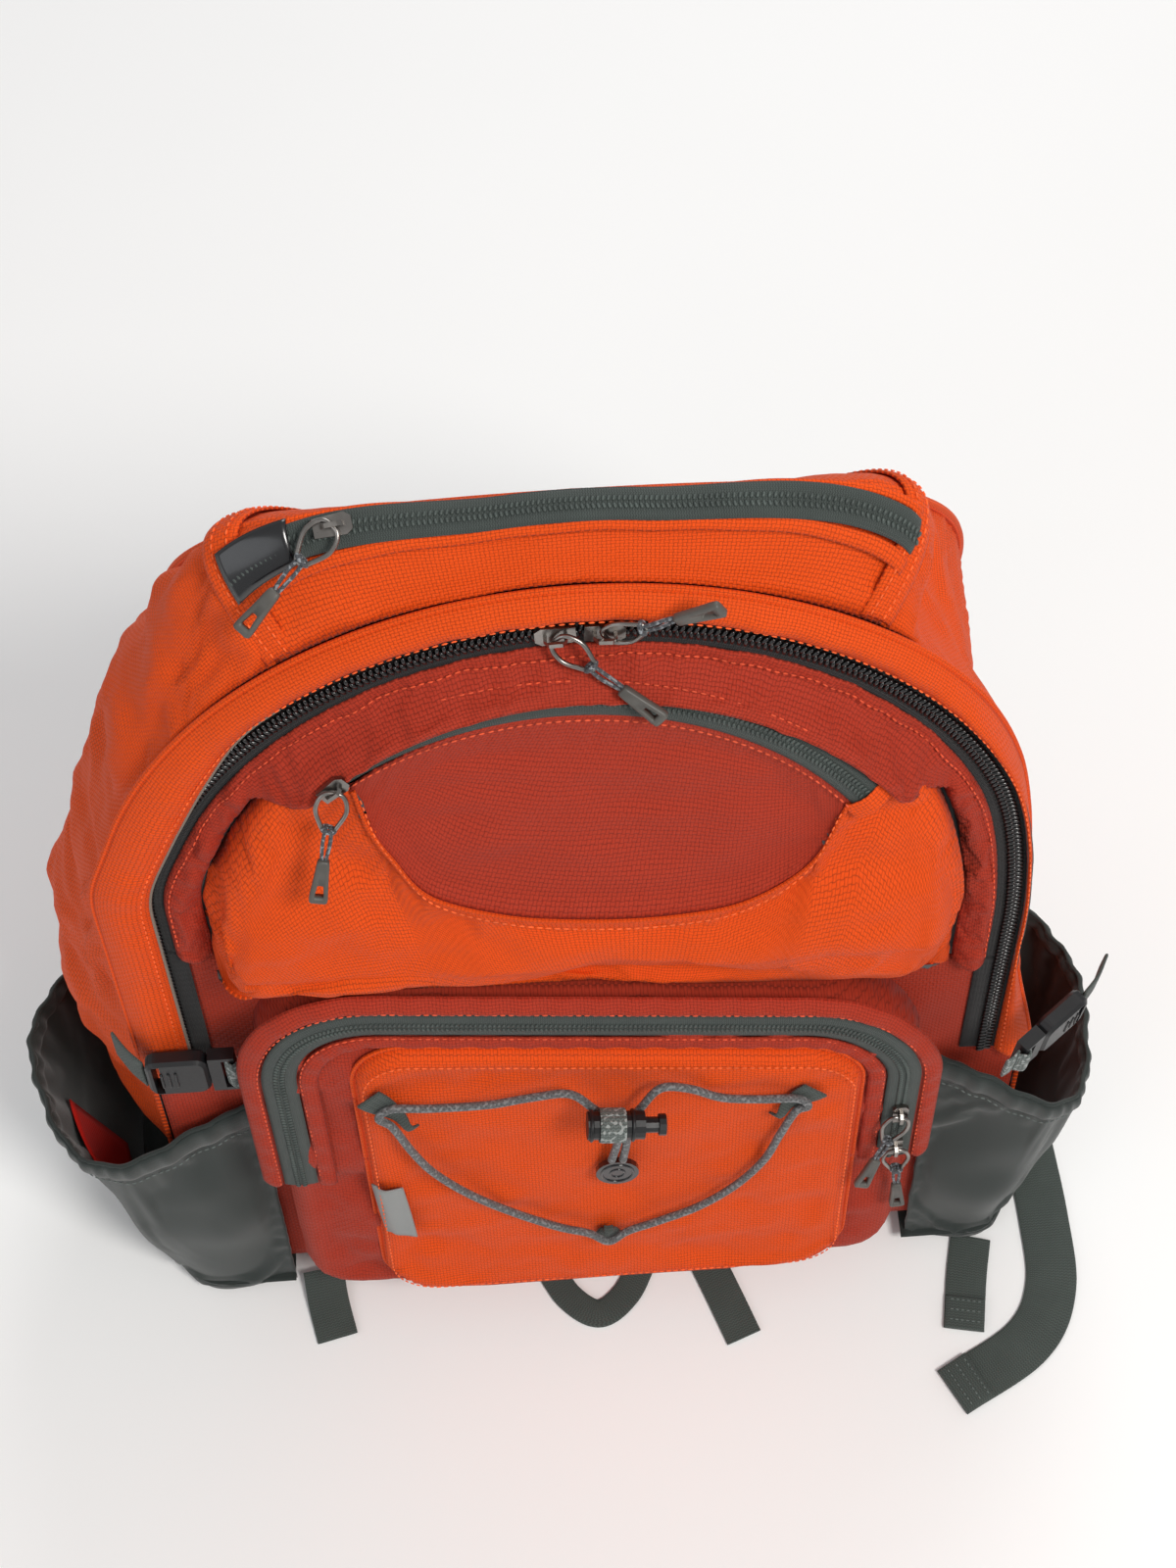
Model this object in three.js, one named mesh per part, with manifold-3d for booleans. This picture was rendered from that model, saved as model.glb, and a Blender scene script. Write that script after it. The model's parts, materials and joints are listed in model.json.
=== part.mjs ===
// Travel backpack: a panel-loading daypack with an arched main zip, two front pockets, two
// stretch side pockets and a padded back. Millimetres, +Z up, front towards -Y, +X to the right
// of a viewer who faces the front. The origin is the middle of the bounding box, on the floor.

import * as THREE from 'three';
import { mergeVertices } from 'three/addons/utils/BufferGeometryUtils.js';
import Module from 'manifold-3d';

const wasm = await Module();
wasm.setup();

// ---------------------------------------------------------------- driving dimensions

const gap = 0.4;                  // space left between touching pieces
const fabric = 3;                 // lined fabric wall
const webbingThickness = 1.8;

const foldHeight = 250;           // height where the front flap starts, above the lower pocket
const foldDepth = 150;            // distance of the front wall from the back plane at that height
const frontLean = Math.atan(0.195);
const floorThickness = 22;        // padded bottom panel
const frontBottom = -(foldHeight - floorThickness - gap) / Math.cos(frontLean);

const archRadius = 173;           // main zip: half circle on two straight legs
const archCentre = 38;            // height of the half circle's centre above the fold, on the wall
const zipLegEnd = -70;            // lower end of the main zip, below the fold
const tapeOut = 4.2;              // zip tape outside the teeth
const tapeIn = 9;                 // zip tape inside the teeth
const teethGap = 0.4;
const tapeThickness = 1.6;
const bandWidth = 20;             // orange band outside the main zip
const bandRise = 5;
const bandTurn = { narrow: 12, back: 14 };  // the band turns back round the right side of the arch

const backRadius = 165;           // back panel: half circle on straight sides
const backTop = 474;
const backCentre = backTop - backRadius;
const topSeam = 100;              // distance of the top panel's seams from the middle of the arch
const topBulge = 20;
const shoulderBulge = 22;         // the top corners stand out under the top panel's seams
const leftBulge = { high: 20, low: 60 };
const rightBulge = { high: -5, low: 20 };
const backLean = { from: 290, rate: 0.012, power: 1.65 };  // the top of the back leans forward

const fold = 12;                  // lower edge of the flap, up the wall from the fold height
const lowerPocket = { half: 143, top: 10, bottom: -224, depth: 27, corner: 52 };
const lowerFace = { left: -102, right: 114, top: -16, bottom: -212, rise: 9, corner: 26 };
const lowerZip = { half: 132, top: 0, end: -118, corner: 44, width: 15 };

const upperPocket = { radius: 150, centre: 44, bottom: 16, slope: -0.163, depth: 33, knee: 50 };
const upperZip = { radius: 136, u: -5, v: 49, from: -0.73, to: 0.94, width: 13 };

const slouch = { whole: 0.045, fold: 0.085 };  // the loaded front hangs lower on its right side

// ---------------------------------------------------------------- the shape of the pack

const smooth = (x, from, to) => THREE.MathUtils.smoothstep(x, from, to);

// How far the front hangs down for each millimetre to the right, most of all round the fold.
function hang(v) {
  const below = slouch.whole * smooth(v, -220, -95) + slouch.fold * smooth(v, -95, -10);
  return below * (1 - smooth(v, 30, 110));
}

// A point on the upright wall frame, without the hang.
function onPlane(u, v, n) {
  return new THREE.Vector3(
    u,
    -foldDepth + v * Math.sin(frontLean) - n * Math.cos(frontLean),
    foldHeight + v * Math.cos(frontLean) + n * Math.sin(frontLean),
  );
}

// A point on the leaning front wall: u across, v up the wall from the fold, n out of it.
function onFront(u, v, n) {
  return onPlane(u, v - u * hang(v), n);
}

// A half circle on two straight legs, by the distance s along it from the middle of the top.
// Returns the point at an outward offset, and the outward direction's angle from straight up.
function archPoint(s, radius, centre, offset) {
  const quarter = radius * Math.PI / 2;
  const side = Math.sign(s) || 1;
  const angle = Math.min(Math.abs(s), quarter) / radius * side;
  const leg = Math.max(Math.abs(s) - quarter, 0);
  const reach = radius + offset;
  return { u: reach * Math.sin(angle), v: centre + reach * Math.cos(angle) - leg, angle };
}

const archLength = archRadius * Math.PI / 2 + archCentre - frontBottom;
const backLength = backRadius * Math.PI / 2 + backCentre - floorThickness - gap;
const legLength = v => archRadius * Math.PI / 2 + archCentre - v;

// How far forward the back stands at a height above the floor.
const leanAt = z => backLean.rate * Math.max(z - backLean.from, 0) ** backLean.power;

// How much of its turn the band has made at a distance s round the arch.
const turnAt = s => smooth(s, 90, 230) * (1 - smooth(s, 290, 378));

// The side and top wall: s runs round the arch, t from the front seam (0) to the back (1).
function onWall(s, t, outward) {
  const seam = bandWidth + gap - bandTurn.narrow * turnAt(s);
  const front = archPoint(s, archRadius, archCentre, seam);
  const back = archPoint(s * backLength / archLength, backRadius, backCentre, 0);
  const bulgeSide = s < 0 ? leftBulge : rightBulge;
  const low = smooth(Math.abs(s), 220, 390) * (1 - 0.8 * smooth(Math.abs(s), 400, 520));
  const sideBulge = THREE.MathUtils.lerp(bulgeSide.high, bulgeSide.low, low);
  const shoulderEnd = s < 0 ? 175 : 128;
  const shoulder = shoulderBulge * (smooth(Math.abs(s), 20, 95) - smooth(Math.abs(s), 105, shoulderEnd));
  const sideShare = smooth(Math.abs(s), 90, s < 0 ? 220 : 130);
  const bulge = THREE.MathUtils.lerp(topBulge, sideBulge, sideShare) + shoulder;
  const backPoint = new THREE.Vector3(back.u, -leanAt(back.v), back.v);
  const seamDepth = -1 - bandTurn.back * turnAt(s);
  const point = onFront(front.u, front.v, seamDepth).lerp(backPoint, t);
  const reach = bulge * 4 * t * (1 - t) + outward;
  point.x += reach * Math.sin(front.angle);
  point.z += reach * Math.cos(front.angle);
  return point;
}

// ---------------------------------------------------------------- making solids

// Keeps only positions, joins shared corners and turns the faces outward.
function closed(geometry) {
  geometry.deleteAttribute('normal');
  geometry.deleteAttribute('uv');
  const merged = mergeVertices(geometry, 1e-4);
  const p = merged.getAttribute('position');
  const index = merged.index.array;
  const a = new THREE.Vector3();
  const b = new THREE.Vector3();
  const c = new THREE.Vector3();
  let volume = 0;
  for (let i = 0; i < index.length; i += 3) {
    a.fromBufferAttribute(p, index[i]);
    b.fromBufferAttribute(p, index[i + 1]);
    c.fromBufferAttribute(p, index[i + 2]);
    volume += a.dot(b.cross(c));
  }
  if (volume < 0) {
    for (let i = 0; i < index.length; i += 3) {
      [index[i], index[i + 1]] = [index[i + 1], index[i]];
    }
  }
  return merged;
}

function toSolid(geometry) {
  const merged = closed(geometry);
  return new wasm.Manifold(new wasm.Mesh({
    numProp: 3,
    vertProperties: new Float32Array(merged.getAttribute('position').array),
    triVerts: new Uint32Array(merged.index.array),
  }));
}

function fromSolid(solid) {
  const mesh = solid.getMesh();
  const geometry = new THREE.BufferGeometry();
  geometry.setAttribute('position', new THREE.Float32BufferAttribute(mesh.vertProperties, 3));
  geometry.setIndex(Array.from(mesh.triVerts));
  return geometry;
}

const join = (...geometries) => fromSolid(geometries.map(toSolid).reduce((a, b) => a.add(b)));
const cut = (from, ...tools) => fromSolid(
  tools.map(toSolid).reduce((a, b) => a.subtract(b), toSolid(from)),
);
const common = (a, b) => fromSolid(toSolid(a).intersect(toSolid(b)));

// Moves every vertex of a geometry through a function of its position.
function warp(geometry, move) {
  const p = geometry.getAttribute('position');
  const point = new THREE.Vector3();
  for (let i = 0; i < p.count; i += 1) {
    const moved = move(point.fromBufferAttribute(p, i).clone());
    p.setXYZ(i, moved.x, moved.y, moved.z);
  }
  return geometry;
}

// A thin block bent to shape: shape(u, v, w) gives a point, with u, v and w from 0 to 1.
function slab(stepsU, stepsV, shape) {
  const block = new THREE.BoxGeometry(1, 1, 1, stepsU, stepsV, 1);
  return closed(warp(block, p => shape(p.x + 0.5, p.y + 0.5, p.z + 0.5)));
}

// A strap: flat section swept along a curve, its width along across(t).
function strap(points, width, thickness, across, steps = 12) {
  const curve = new THREE.CatmullRomCurve3(points, false, 'centripetal');
  return slab(steps, 1, (t, side, lift) => {
    const wide = across(t).normalize();
    const thin = new THREE.Vector3().crossVectors(wide, curve.getTangentAt(t)).normalize();
    return curve.getPointAt(t)
      .addScaledVector(wide, (side - 0.5) * width)
      .addScaledVector(thin, (lift - 0.5) * thickness);
  });
}

// A round cord along a curve.
function cordTube(points, diameter, steps) {
  const section = new THREE.Shape();
  section.absarc(0, 0, diameter / 2, 0, 2 * Math.PI, false);
  return closed(new THREE.ExtrudeGeometry(section, {
    steps,
    curveSegments: 4,
    bevelEnabled: false,
    extrudePath: new THREE.CatmullRomCurve3(points, false, 'centripetal'),
  }));
}

// An outline in the wall's u and v, made solid between two distances from the wall.
function plate(outline, low, high, bevel = 0, curveSegments = 6) {
  const geometry = new THREE.ExtrudeGeometry(outline, {
    depth: high - low - 2 * bevel,
    curveSegments,
    bevelEnabled: bevel > 0,
    bevelThickness: bevel,
    bevelSize: bevel,
    bevelOffset: -bevel,
    bevelSegments: 1,
  });
  return warp(closed(geometry), p => onFront(p.x, p.y, p.z + low + bevel));
}

// A rectangle with two radii, one for its top corners and one for its bottom corners.
function roundedOutline(left, right, bottom, top, topRadius, bottomRadius) {
  const outline = new THREE.Shape();
  outline.moveTo(left + bottomRadius, bottom);
  outline.lineTo(right - bottomRadius, bottom);
  outline.absarc(right - bottomRadius, bottom + bottomRadius, bottomRadius, -Math.PI / 2, 0, false);
  outline.lineTo(right, top - topRadius);
  outline.absarc(right - topRadius, top - topRadius, topRadius, 0, Math.PI / 2, false);
  outline.lineTo(left + topRadius, top);
  outline.absarc(left + topRadius, top - topRadius, topRadius, Math.PI / 2, Math.PI, false);
  outline.lineTo(left, bottom + bottomRadius);
  outline.absarc(left + bottomRadius, bottom + bottomRadius, bottomRadius, Math.PI, 1.5 * Math.PI, false);
  return outline;
}

// A half circle on straight legs that end at a level line.
function archOutline(radius, centre, bottom) {
  const outline = new THREE.Shape();
  outline.moveTo(-radius, bottom);
  outline.lineTo(radius, bottom);
  outline.lineTo(radius, centre);
  outline.absarc(0, centre, radius, 0, Math.PI, false);
  return outline;
}

// ---------------------------------------------------------------- colours

const finish = (color, roughness, metalness = 0) => ({ color, roughness, metalness });
const orange = finish(0xe8551b, 0.75);
const rust = finish(0xb8442d, 0.8);
const darkFabric = finish(0x343a38, 0.85);
const webbing = finish(0x3f4743, 0.85);
const zipGrey = finish(0x3a423f, 0.7);
const blackZip = finish(0x141414, 0.5);
const blackPlastic = finish(0x17181a, 0.4);
const gunmetal = finish(0x6f6c6b, 0.3, 1);
const cordGrey = finish(0x6b6a68, 0.7);
const meshBlack = finish(0x1f2122, 0.95);
const sheetPlastic = finish(0x3a3d3e, 0.5);

const model = new THREE.Group();

function add(name, geometry, look) {
  const mesh = new THREE.Mesh(closed(geometry), new THREE.MeshStandardMaterial(look));
  mesh.name = name;
  model.add(mesh);
}

// ---------------------------------------------------------------- back and frame

const backInset = fabric + gap;

function backOutline(inset, bottom) {
  const radius = backRadius - backInset - inset;
  return archOutline(radius, backCentre, bottom);
}

// Turns a flat x, y outline extruded along z into a plate that stands on the back plane.
function standing(geometry, depth) {
  return warp(geometry, p => new THREE.Vector3(p.x, depth - p.z, p.y));
}

function makeBack() {
  const panelThickness = 8;
  const bent = slab(1, 24, (u, v, w) => {
    const z = THREE.MathUtils.lerp(floorThickness - 10, backTop + 10, v);
    return new THREE.Vector3((u - 0.5) * 400, -leanAt(z) - (1 - w) * panelThickness, z);
  });
  const panel = new THREE.ExtrudeGeometry(backOutline(0.6, floorThickness + gap), {
    depth: 200,
    bevelEnabled: false,
    curveSegments: 12,
  });
  add('back_panel', common(bent, standing(panel, 50)), darkFabric);

  const sheetWidth = 250;
  const sheetHeight = 250;
  const sheetCorner = 40;
  const sheetHalf = sheetWidth / 2;
  const sheetOutline = roundedOutline(-sheetHalf, sheetHalf, 35, 35 + sheetHeight, sheetCorner, 20);
  const sheet = new THREE.ExtrudeGeometry(sheetOutline, { depth: 2, bevelEnabled: false, curveSegments: 4 });
  add('frame_sheet', standing(sheet, -panelThickness - gap), sheetPlastic);

  const padThickness = 14;
  for (const [name, side] of [['back_pad_left', -1], ['back_pad_right', 1]]) {
    const outline = roundedOutline(-45, 45, 60, 322, 40, 30);
    const pad = new THREE.ExtrudeGeometry(outline, {
      depth: padThickness - 8,
      bevelThickness: 4,
      bevelSize: 6,
      bevelOffset: -6,
      bevelSegments: 1,
      curveSegments: 5,
    });
    pad.translate(side * 68, 0, 0);
    add(name, standing(pad, padThickness - 4 + gap), meshBlack);
  }
}

// ---------------------------------------------------------------- body walls

function makeWall(name, from, to, stepsRound, stepsAcross) {
  add(name, slab(stepsRound, stepsAcross, (u, v, w) => {
    const s = THREE.MathUtils.lerp(from, to, u);
    return onWall(s, v, (w - 1) * fabric);
  }), orange);
}

function makeBody() {
  makeWall('side_panel_left', -archLength, -topSeam, 18, 5);
  makeWall('top_panel', -topSeam + gap, topSeam - gap, 10, 4);
  makeWall('side_panel_right', topSeam, archLength, 18, 5);

  const floor = new THREE.Shape();
  floor.moveTo(-155, 0);
  floor.lineTo(155, 0);
  floor.quadraticCurveTo(190, -80, 192, -160);
  floor.quadraticCurveTo(190, -196, 150, -196);
  floor.lineTo(-150, -196);
  floor.quadraticCurveTo(-190, -196, -192, -160);
  floor.quadraticCurveTo(-205, -80, -155, 0);
  const bottom = new THREE.ExtrudeGeometry(floor, {
    depth: floorThickness - 10,
    bevelThickness: 5,
    bevelSize: 5,
    bevelOffset: -5,
    bevelSegments: 2,
    curveSegments: 6,
  });
  bottom.translate(0, 0, 5);
  add('bottom_panel', bottom, rust);

  const shoulder = archRadius + bandWidth - fabric - gap;
  const inner = archRadius - tapeIn - gap;
  const wall = new THREE.Shape();
  wall.moveTo(-shoulder, frontBottom);
  wall.lineTo(shoulder, frontBottom);
  wall.lineTo(shoulder, zipLegEnd - gap);
  wall.lineTo(inner, zipLegEnd - gap);
  wall.lineTo(inner, fold - gap);
  wall.lineTo(-inner, fold - gap);
  wall.lineTo(-inner, zipLegEnd - gap);
  wall.lineTo(-shoulder, zipLegEnd - gap);
  add('front_lower_panel', plate(wall, -fabric, 0), rust);

  const legEnd = legLength(zipLegEnd);
  add('arch_band', slab(44, 3, (u, v, w) => {
    const s = THREE.MathUtils.lerp(-legEnd, legEnd, u);
    const offset = THREE.MathUtils.lerp(tapeOut + gap, bandWidth - bandTurn.narrow * turnAt(s), v);
    const point = archPoint(s, archRadius, archCentre, offset);
    const rise = bandRise * Math.sin(Math.PI * v) + fabric * w - 0.6 - bandTurn.back * turnAt(s) * v * v;
    return onFront(point.u, point.v, rise);
  }), orange);
}

// ---------------------------------------------------------------- main zip

// A strip of zip tape beside the arch, from one distance along it to another.
function archTape(from, to, inside, outside, steps) {
  return slab(steps, 1, (u, v, w) => {
    const s = THREE.MathUtils.lerp(from, to, u);
    const point = archPoint(s, archRadius, archCentre, THREE.MathUtils.lerp(inside, outside, v));
    return onFront(point.u, point.v, (w - 1) * tapeThickness + 1);
  });
}

function makeMainZip() {
  const legEnd = legLength(zipLegEnd);
  const foldEnd = legLength(fold);
  const outer = archTape(-legEnd, legEnd, teethGap, tapeOut, 44);
  const stopLength = 5;
  const legs = [-1, 1].map(side => archTape(side * legEnd, side * (foldEnd + 1.5), -tapeIn, -teethGap, 3));
  const stops = [-1, 1].map(side => archTape(
    side * legEnd,
    side * (legEnd - stopLength),
    -tapeIn,
    tapeOut,
    1,
  ));
  add('main_zip_outer', join(outer, ...legs, ...stops), blackZip);
  const innerEnd = foldEnd - 3.5;
  add('main_zip_inner', archTape(-innerEnd, innerEnd, -tapeIn, -teethGap, 40), blackZip);

  const flap = archOutline(archRadius - tapeIn - gap, archCentre, fold);
  add('flap_panel', plate(flap, -fabric, 0, 0, 20), rust);
}

// ---------------------------------------------------------------- pockets

// The space between the wall and a side profile drawn in v and n.
function profileBlock(profile, halfWidth) {
  const outline = new THREE.Shape(profile.map(([v, n]) => new THREE.Vector2(v, n)));
  const block = new THREE.ExtrudeGeometry(outline, { depth: 2 * halfWidth, bevelEnabled: false });
  return warp(closed(block), p => onPlane(p.z - halfWidth, p.x, p.y));
}

const upperFront = v => upperPocket.depth + (v - upperPocket.knee) * upperPocket.slope;

// A point on the upper pocket's sloping front, with n counted from that front.
function onUpperPocket(u, v, n) {
  const height = v - u * hang(v);
  return onPlane(u, height, upperFront(height) + n);
}

function makeUpperPocket() {
  const { radius, centre, bottom, depth, knee } = upperPocket;
  const top = centre + radius + 5;
  const low = bottom - 50;
  const shell = (inset, floor) => common(
    plate(archOutline(radius - inset, centre, bottom + inset), floor, 60, 0, 10),
    profileBlock([
      [low, floor],
      [low, 6 - inset],
      [bottom - 20, 6 - inset],
      [knee, depth - inset],
      [top, upperFront(top) - inset],
      [top, floor],
    ], 200),
  );
  add('upper_pocket', cut(shell(0, gap), shell(fabric, -5)), orange);

  add('upper_pocket_zip', slab(16, 1, (u, v, w) => {
    const angle = THREE.MathUtils.lerp(upperZip.from, upperZip.to, u);
    const r = upperZip.radius + (v - 0.5) * upperZip.width;
    return onUpperPocket(
      upperZip.u + r * Math.sin(angle),
      upperZip.v + r * Math.cos(angle),
      2 * gap + w * tapeThickness,
    );
  }), zipGrey);
}

// A point of the lower pocket's zip: a rounded arch, by the fraction t from left end to right.
function lowerZipPoint(t, offset) {
  const { half, top, end, corner } = lowerZip;
  const leg = top - corner - end;
  const arc = corner * Math.PI / 2;
  const across = 2 * (half - corner);
  const s = t * (2 * leg + 2 * arc + across);
  const mirrored = s > leg + arc + across / 2;
  const d = mirrored ? 2 * leg + 2 * arc + across - s : s;
  const angle = THREE.MathUtils.clamp((d - leg) / corner, 0, Math.PI / 2);
  const u = -(half - corner) - (corner + offset) * Math.cos(angle) + Math.max(d - leg - arc, 0);
  const v = top - corner + (corner + offset) * Math.sin(angle) - Math.max(leg - d, 0);
  return { u: mirrored ? -u : u, v };
}

function makeLowerPocket() {
  const { half, top, bottom, depth, corner } = lowerPocket;
  const body = plate(roundedOutline(-half, half, bottom, top, corner, 30), gap, depth, 6, 5);
  const room = plate(
    roundedOutline(-half + 8, half - 8, bottom + 8, top - 8, corner - 8, 22),
    -5,
    depth - fabric,
    0,
    4,
  );
  add('lower_pocket', cut(body, room), rust);

  const f = lowerFace;
  const face = roundedOutline(f.left, f.right, f.bottom, f.top, f.corner, f.corner);
  add('lower_pocket_front', plate(face, depth + gap, depth + f.rise, 4, 4), orange);

  add('lower_pocket_zip', slab(34, 1, (u, v, w) => {
    const point = lowerZipPoint(u, (v - 0.5) * lowerZip.width);
    return onFront(point.u, point.v, depth + gap + w * tapeThickness);
  }), zipGrey);
}

// Stretch side pocket: joined to the front wall beside the lower pocket and to the back edge of
// the side wall, standing open at its rim. The lists give x and y at the floor and at the rim.
const sidePockets = {
  left: {
    side: -1,
    floor: [[150, -201], [200, -197], [226, -112], [189, -34]],
    rim: [[150, -170], [226, -182], [260, -104], [207, -34]],
  },
  right: {
    side: 1,
    floor: [[152, -201], [198, -197], [214, -112], [173.5, -34]],
    rim: [[152, -170], [216, -184], [232, -108], [185, -34]],
  },
};
const pocketFloor = 4;
const pocketRim = 172;

function makeSidePocket(name, shape) {
  const plan = list => new THREE.CatmullRomCurve3(
    list.map(([x, y]) => new THREE.Vector3(shape.side * x, y, 0)),
    false,
    'centripetal',
  );
  const floorCurve = plan(shape.floor);
  const rimCurve = plan(shape.rim);
  add(name, slab(18, 5, (u, v, w) => {
    const open = v * v * (3 - 2 * v) * 0.5 + v * 0.5;
    const point = floorCurve.getPoint(u).lerp(rimCurve.getPoint(u), open);
    const along = floorCurve.getTangent(u).lerp(rimCurve.getTangent(u), open).normalize();
    const outward = new THREE.Vector3(along.y, -along.x, 0).multiplyScalar(-shape.side);
    point.addScaledVector(outward, (w - 0.5) * fabric);
    const rim = pocketRim - 14 * Math.sin(Math.PI * u) - 60 * u;
    point.z = THREE.MathUtils.lerp(pocketFloor, rim, v);
    return point;
  }), darkFabric);
}

function makePockets() {
  makeUpperPocket();
  makeLowerPocket();
  makeSidePocket('side_pocket_left', sidePockets.left);
  makeSidePocket('side_pocket_right', sidePockets.right);
}

// ---------------------------------------------------------------- top pocket zip

const topZip = { half: 96, width: 13, lift: 1.9 };
const topZipRow = s => 0.47 - 0.22 * (s / 100) ** 2;
const topZipShare = s => topZip.width / (50 + 30 * (s / 100) ** 2);  // of the panel's depth

function makeTopZip() {
  add('top_zip', slab(16, 1, (u, v, w) => {
    const s = THREE.MathUtils.lerp(-topZip.half, topZip.half, u);
    const row = topZipRow(s) + (v - 0.5) * topZipShare(s);
    return onWall(s, row, topZip.lift + w * tapeThickness);
  }), zipGrey);
}

// ---------------------------------------------------------------- zip sliders and pulls

// Slider: a tapered top plate with a bridge over it. Local x runs along the teeth, z outward.
const sliderPlate = { length: 12, nose: 7, tail: 6, thickness: 2 };
const bridge = { length: 7, width: 1.5, height: 4.7, leg: 1 };
const barHeight = 3.4;            // axis of the pull's bar above the slider's foot

function sliderGeometry(scale) {
  const { length, nose, tail, thickness } = sliderPlate;
  const outline = new THREE.Shape();
  outline.moveTo(-length / 2, -tail / 2);
  outline.lineTo(length / 2 - 2, -nose / 2);
  outline.lineTo(length / 2, -nose / 2 + 1.5);
  outline.lineTo(length / 2, nose / 2 - 1.5);
  outline.lineTo(length / 2 - 2, nose / 2);
  outline.lineTo(-length / 2, tail / 2);
  const base = new THREE.ExtrudeGeometry(outline, { depth: thickness, bevelEnabled: false });
  const half = bridge.length / 2;
  const arch = new THREE.Shape();
  arch.moveTo(-half, thickness - 0.5);
  arch.lineTo(-half, bridge.height - 1);
  arch.lineTo(-half + 1.5, bridge.height + bridge.leg);
  arch.lineTo(half - 1.5, bridge.height + bridge.leg);
  arch.lineTo(half, bridge.height - 1);
  arch.lineTo(half, thickness - 0.5);
  arch.lineTo(half - bridge.leg, thickness - 0.5);
  arch.lineTo(half - bridge.leg, bridge.height);
  arch.lineTo(-half + bridge.leg, bridge.height);
  arch.lineTo(-half + bridge.leg, thickness - 0.5);
  const over = new THREE.ExtrudeGeometry(arch, { depth: bridge.width, bevelEnabled: false });
  over.rotateX(Math.PI / 2);
  over.translate(0, bridge.width / 2, 0);
  return join(base, over).scale(scale, scale, scale);
}

// Pull: a wire loop round the bridge, a doubled cord and a windowed grip. Local x runs from the
// loop's bar at the origin to the grip, and y is the bar's own axis.
const pull = {
  loop: 17,
  loopWidth: 11.5,
  wire: 1.7,
  cord: 14,
  cordWidth: 4,
  grip: 19,
  gripWidth: 7,
  thickness: 3,
};

function pullGeometry() {
  const radius = pull.loopWidth / 2;
  const loop = warp(new THREE.TorusGeometry(radius, pull.wire / 2, 6, 16), p => {
    const angle = Math.atan2(p.y, p.x);
    const square = Math.cbrt(Math.abs(Math.cos(angle)) ** 3 + Math.abs(Math.sin(angle)) ** 3);
    return new THREE.Vector3(p.x / square, p.y / square, p.z);
  });
  loop.scale((pull.loop / 2) / radius, 1, 1);
  loop.translate(pull.loop / 2, 0, 0);
  const cordStart = pull.loop - 2.1;
  const cord = new THREE.BoxGeometry(pull.cord, pull.cordWidth, 2);
  cord.translate(cordStart + pull.cord / 2, 0, 0);
  const gripStart = cordStart + pull.cord - 1;
  const outline = new THREE.Shape();
  outline.moveTo(0, -pull.gripWidth / 2 + 1.5);
  outline.lineTo(pull.grip, -pull.gripWidth / 2);
  outline.lineTo(pull.grip, pull.gripWidth / 2);
  outline.lineTo(0, pull.gripWidth / 2 - 1.5);
  const window = new THREE.Path();
  window.moveTo(pull.grip * 0.55, -1.4);
  window.lineTo(pull.grip * 0.55, 1.4);
  window.lineTo(pull.grip * 0.88, 1.7);
  window.lineTo(pull.grip * 0.88, -1.7);
  outline.holes.push(window);
  const grip = new THREE.ExtrudeGeometry(outline, { depth: pull.thickness, bevelEnabled: false });
  grip.translate(gripStart, 0, -pull.thickness / 2);
  return join(loop, cord, grip);
}

// Adds a solid whose local axes are turned: x to `along`, z as near `out` as it can be.
function addTurned(name, geometry, look, origin, along, out) {
  const x = along.clone().normalize();
  const y = new THREE.Vector3().crossVectors(out, x).normalize();
  const z = new THREE.Vector3().crossVectors(x, y);
  const mesh = new THREE.Mesh(closed(geometry), new THREE.MeshStandardMaterial(look));
  mesh.name = name;
  mesh.position.copy(origin);
  mesh.quaternion.setFromRotationMatrix(new THREE.Matrix4().makeBasis(x, y, z));
  model.add(mesh);
}

// A slider at a place on a zip, and its pull lying towards an aim.
function addSlider(name, foot, ahead, out, aim, scale = 1) {
  addTurned(`${name}_slider`, sliderGeometry(scale), gunmetal, foot, ahead, out);
  const pivot = foot.clone().addScaledVector(out, barHeight * scale);
  addTurned(`${name}_pull`, pullGeometry(), gunmetal, pivot, aim.clone().sub(pivot), out);
}

const wallOut = onPlane(0, 0, 1).sub(onPlane(0, 0, 0));
const across = onPlane(1, 0, 0).sub(onPlane(0, 0, 0));
const up = onPlane(0, 1, 0).sub(onPlane(0, 0, 0));

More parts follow.
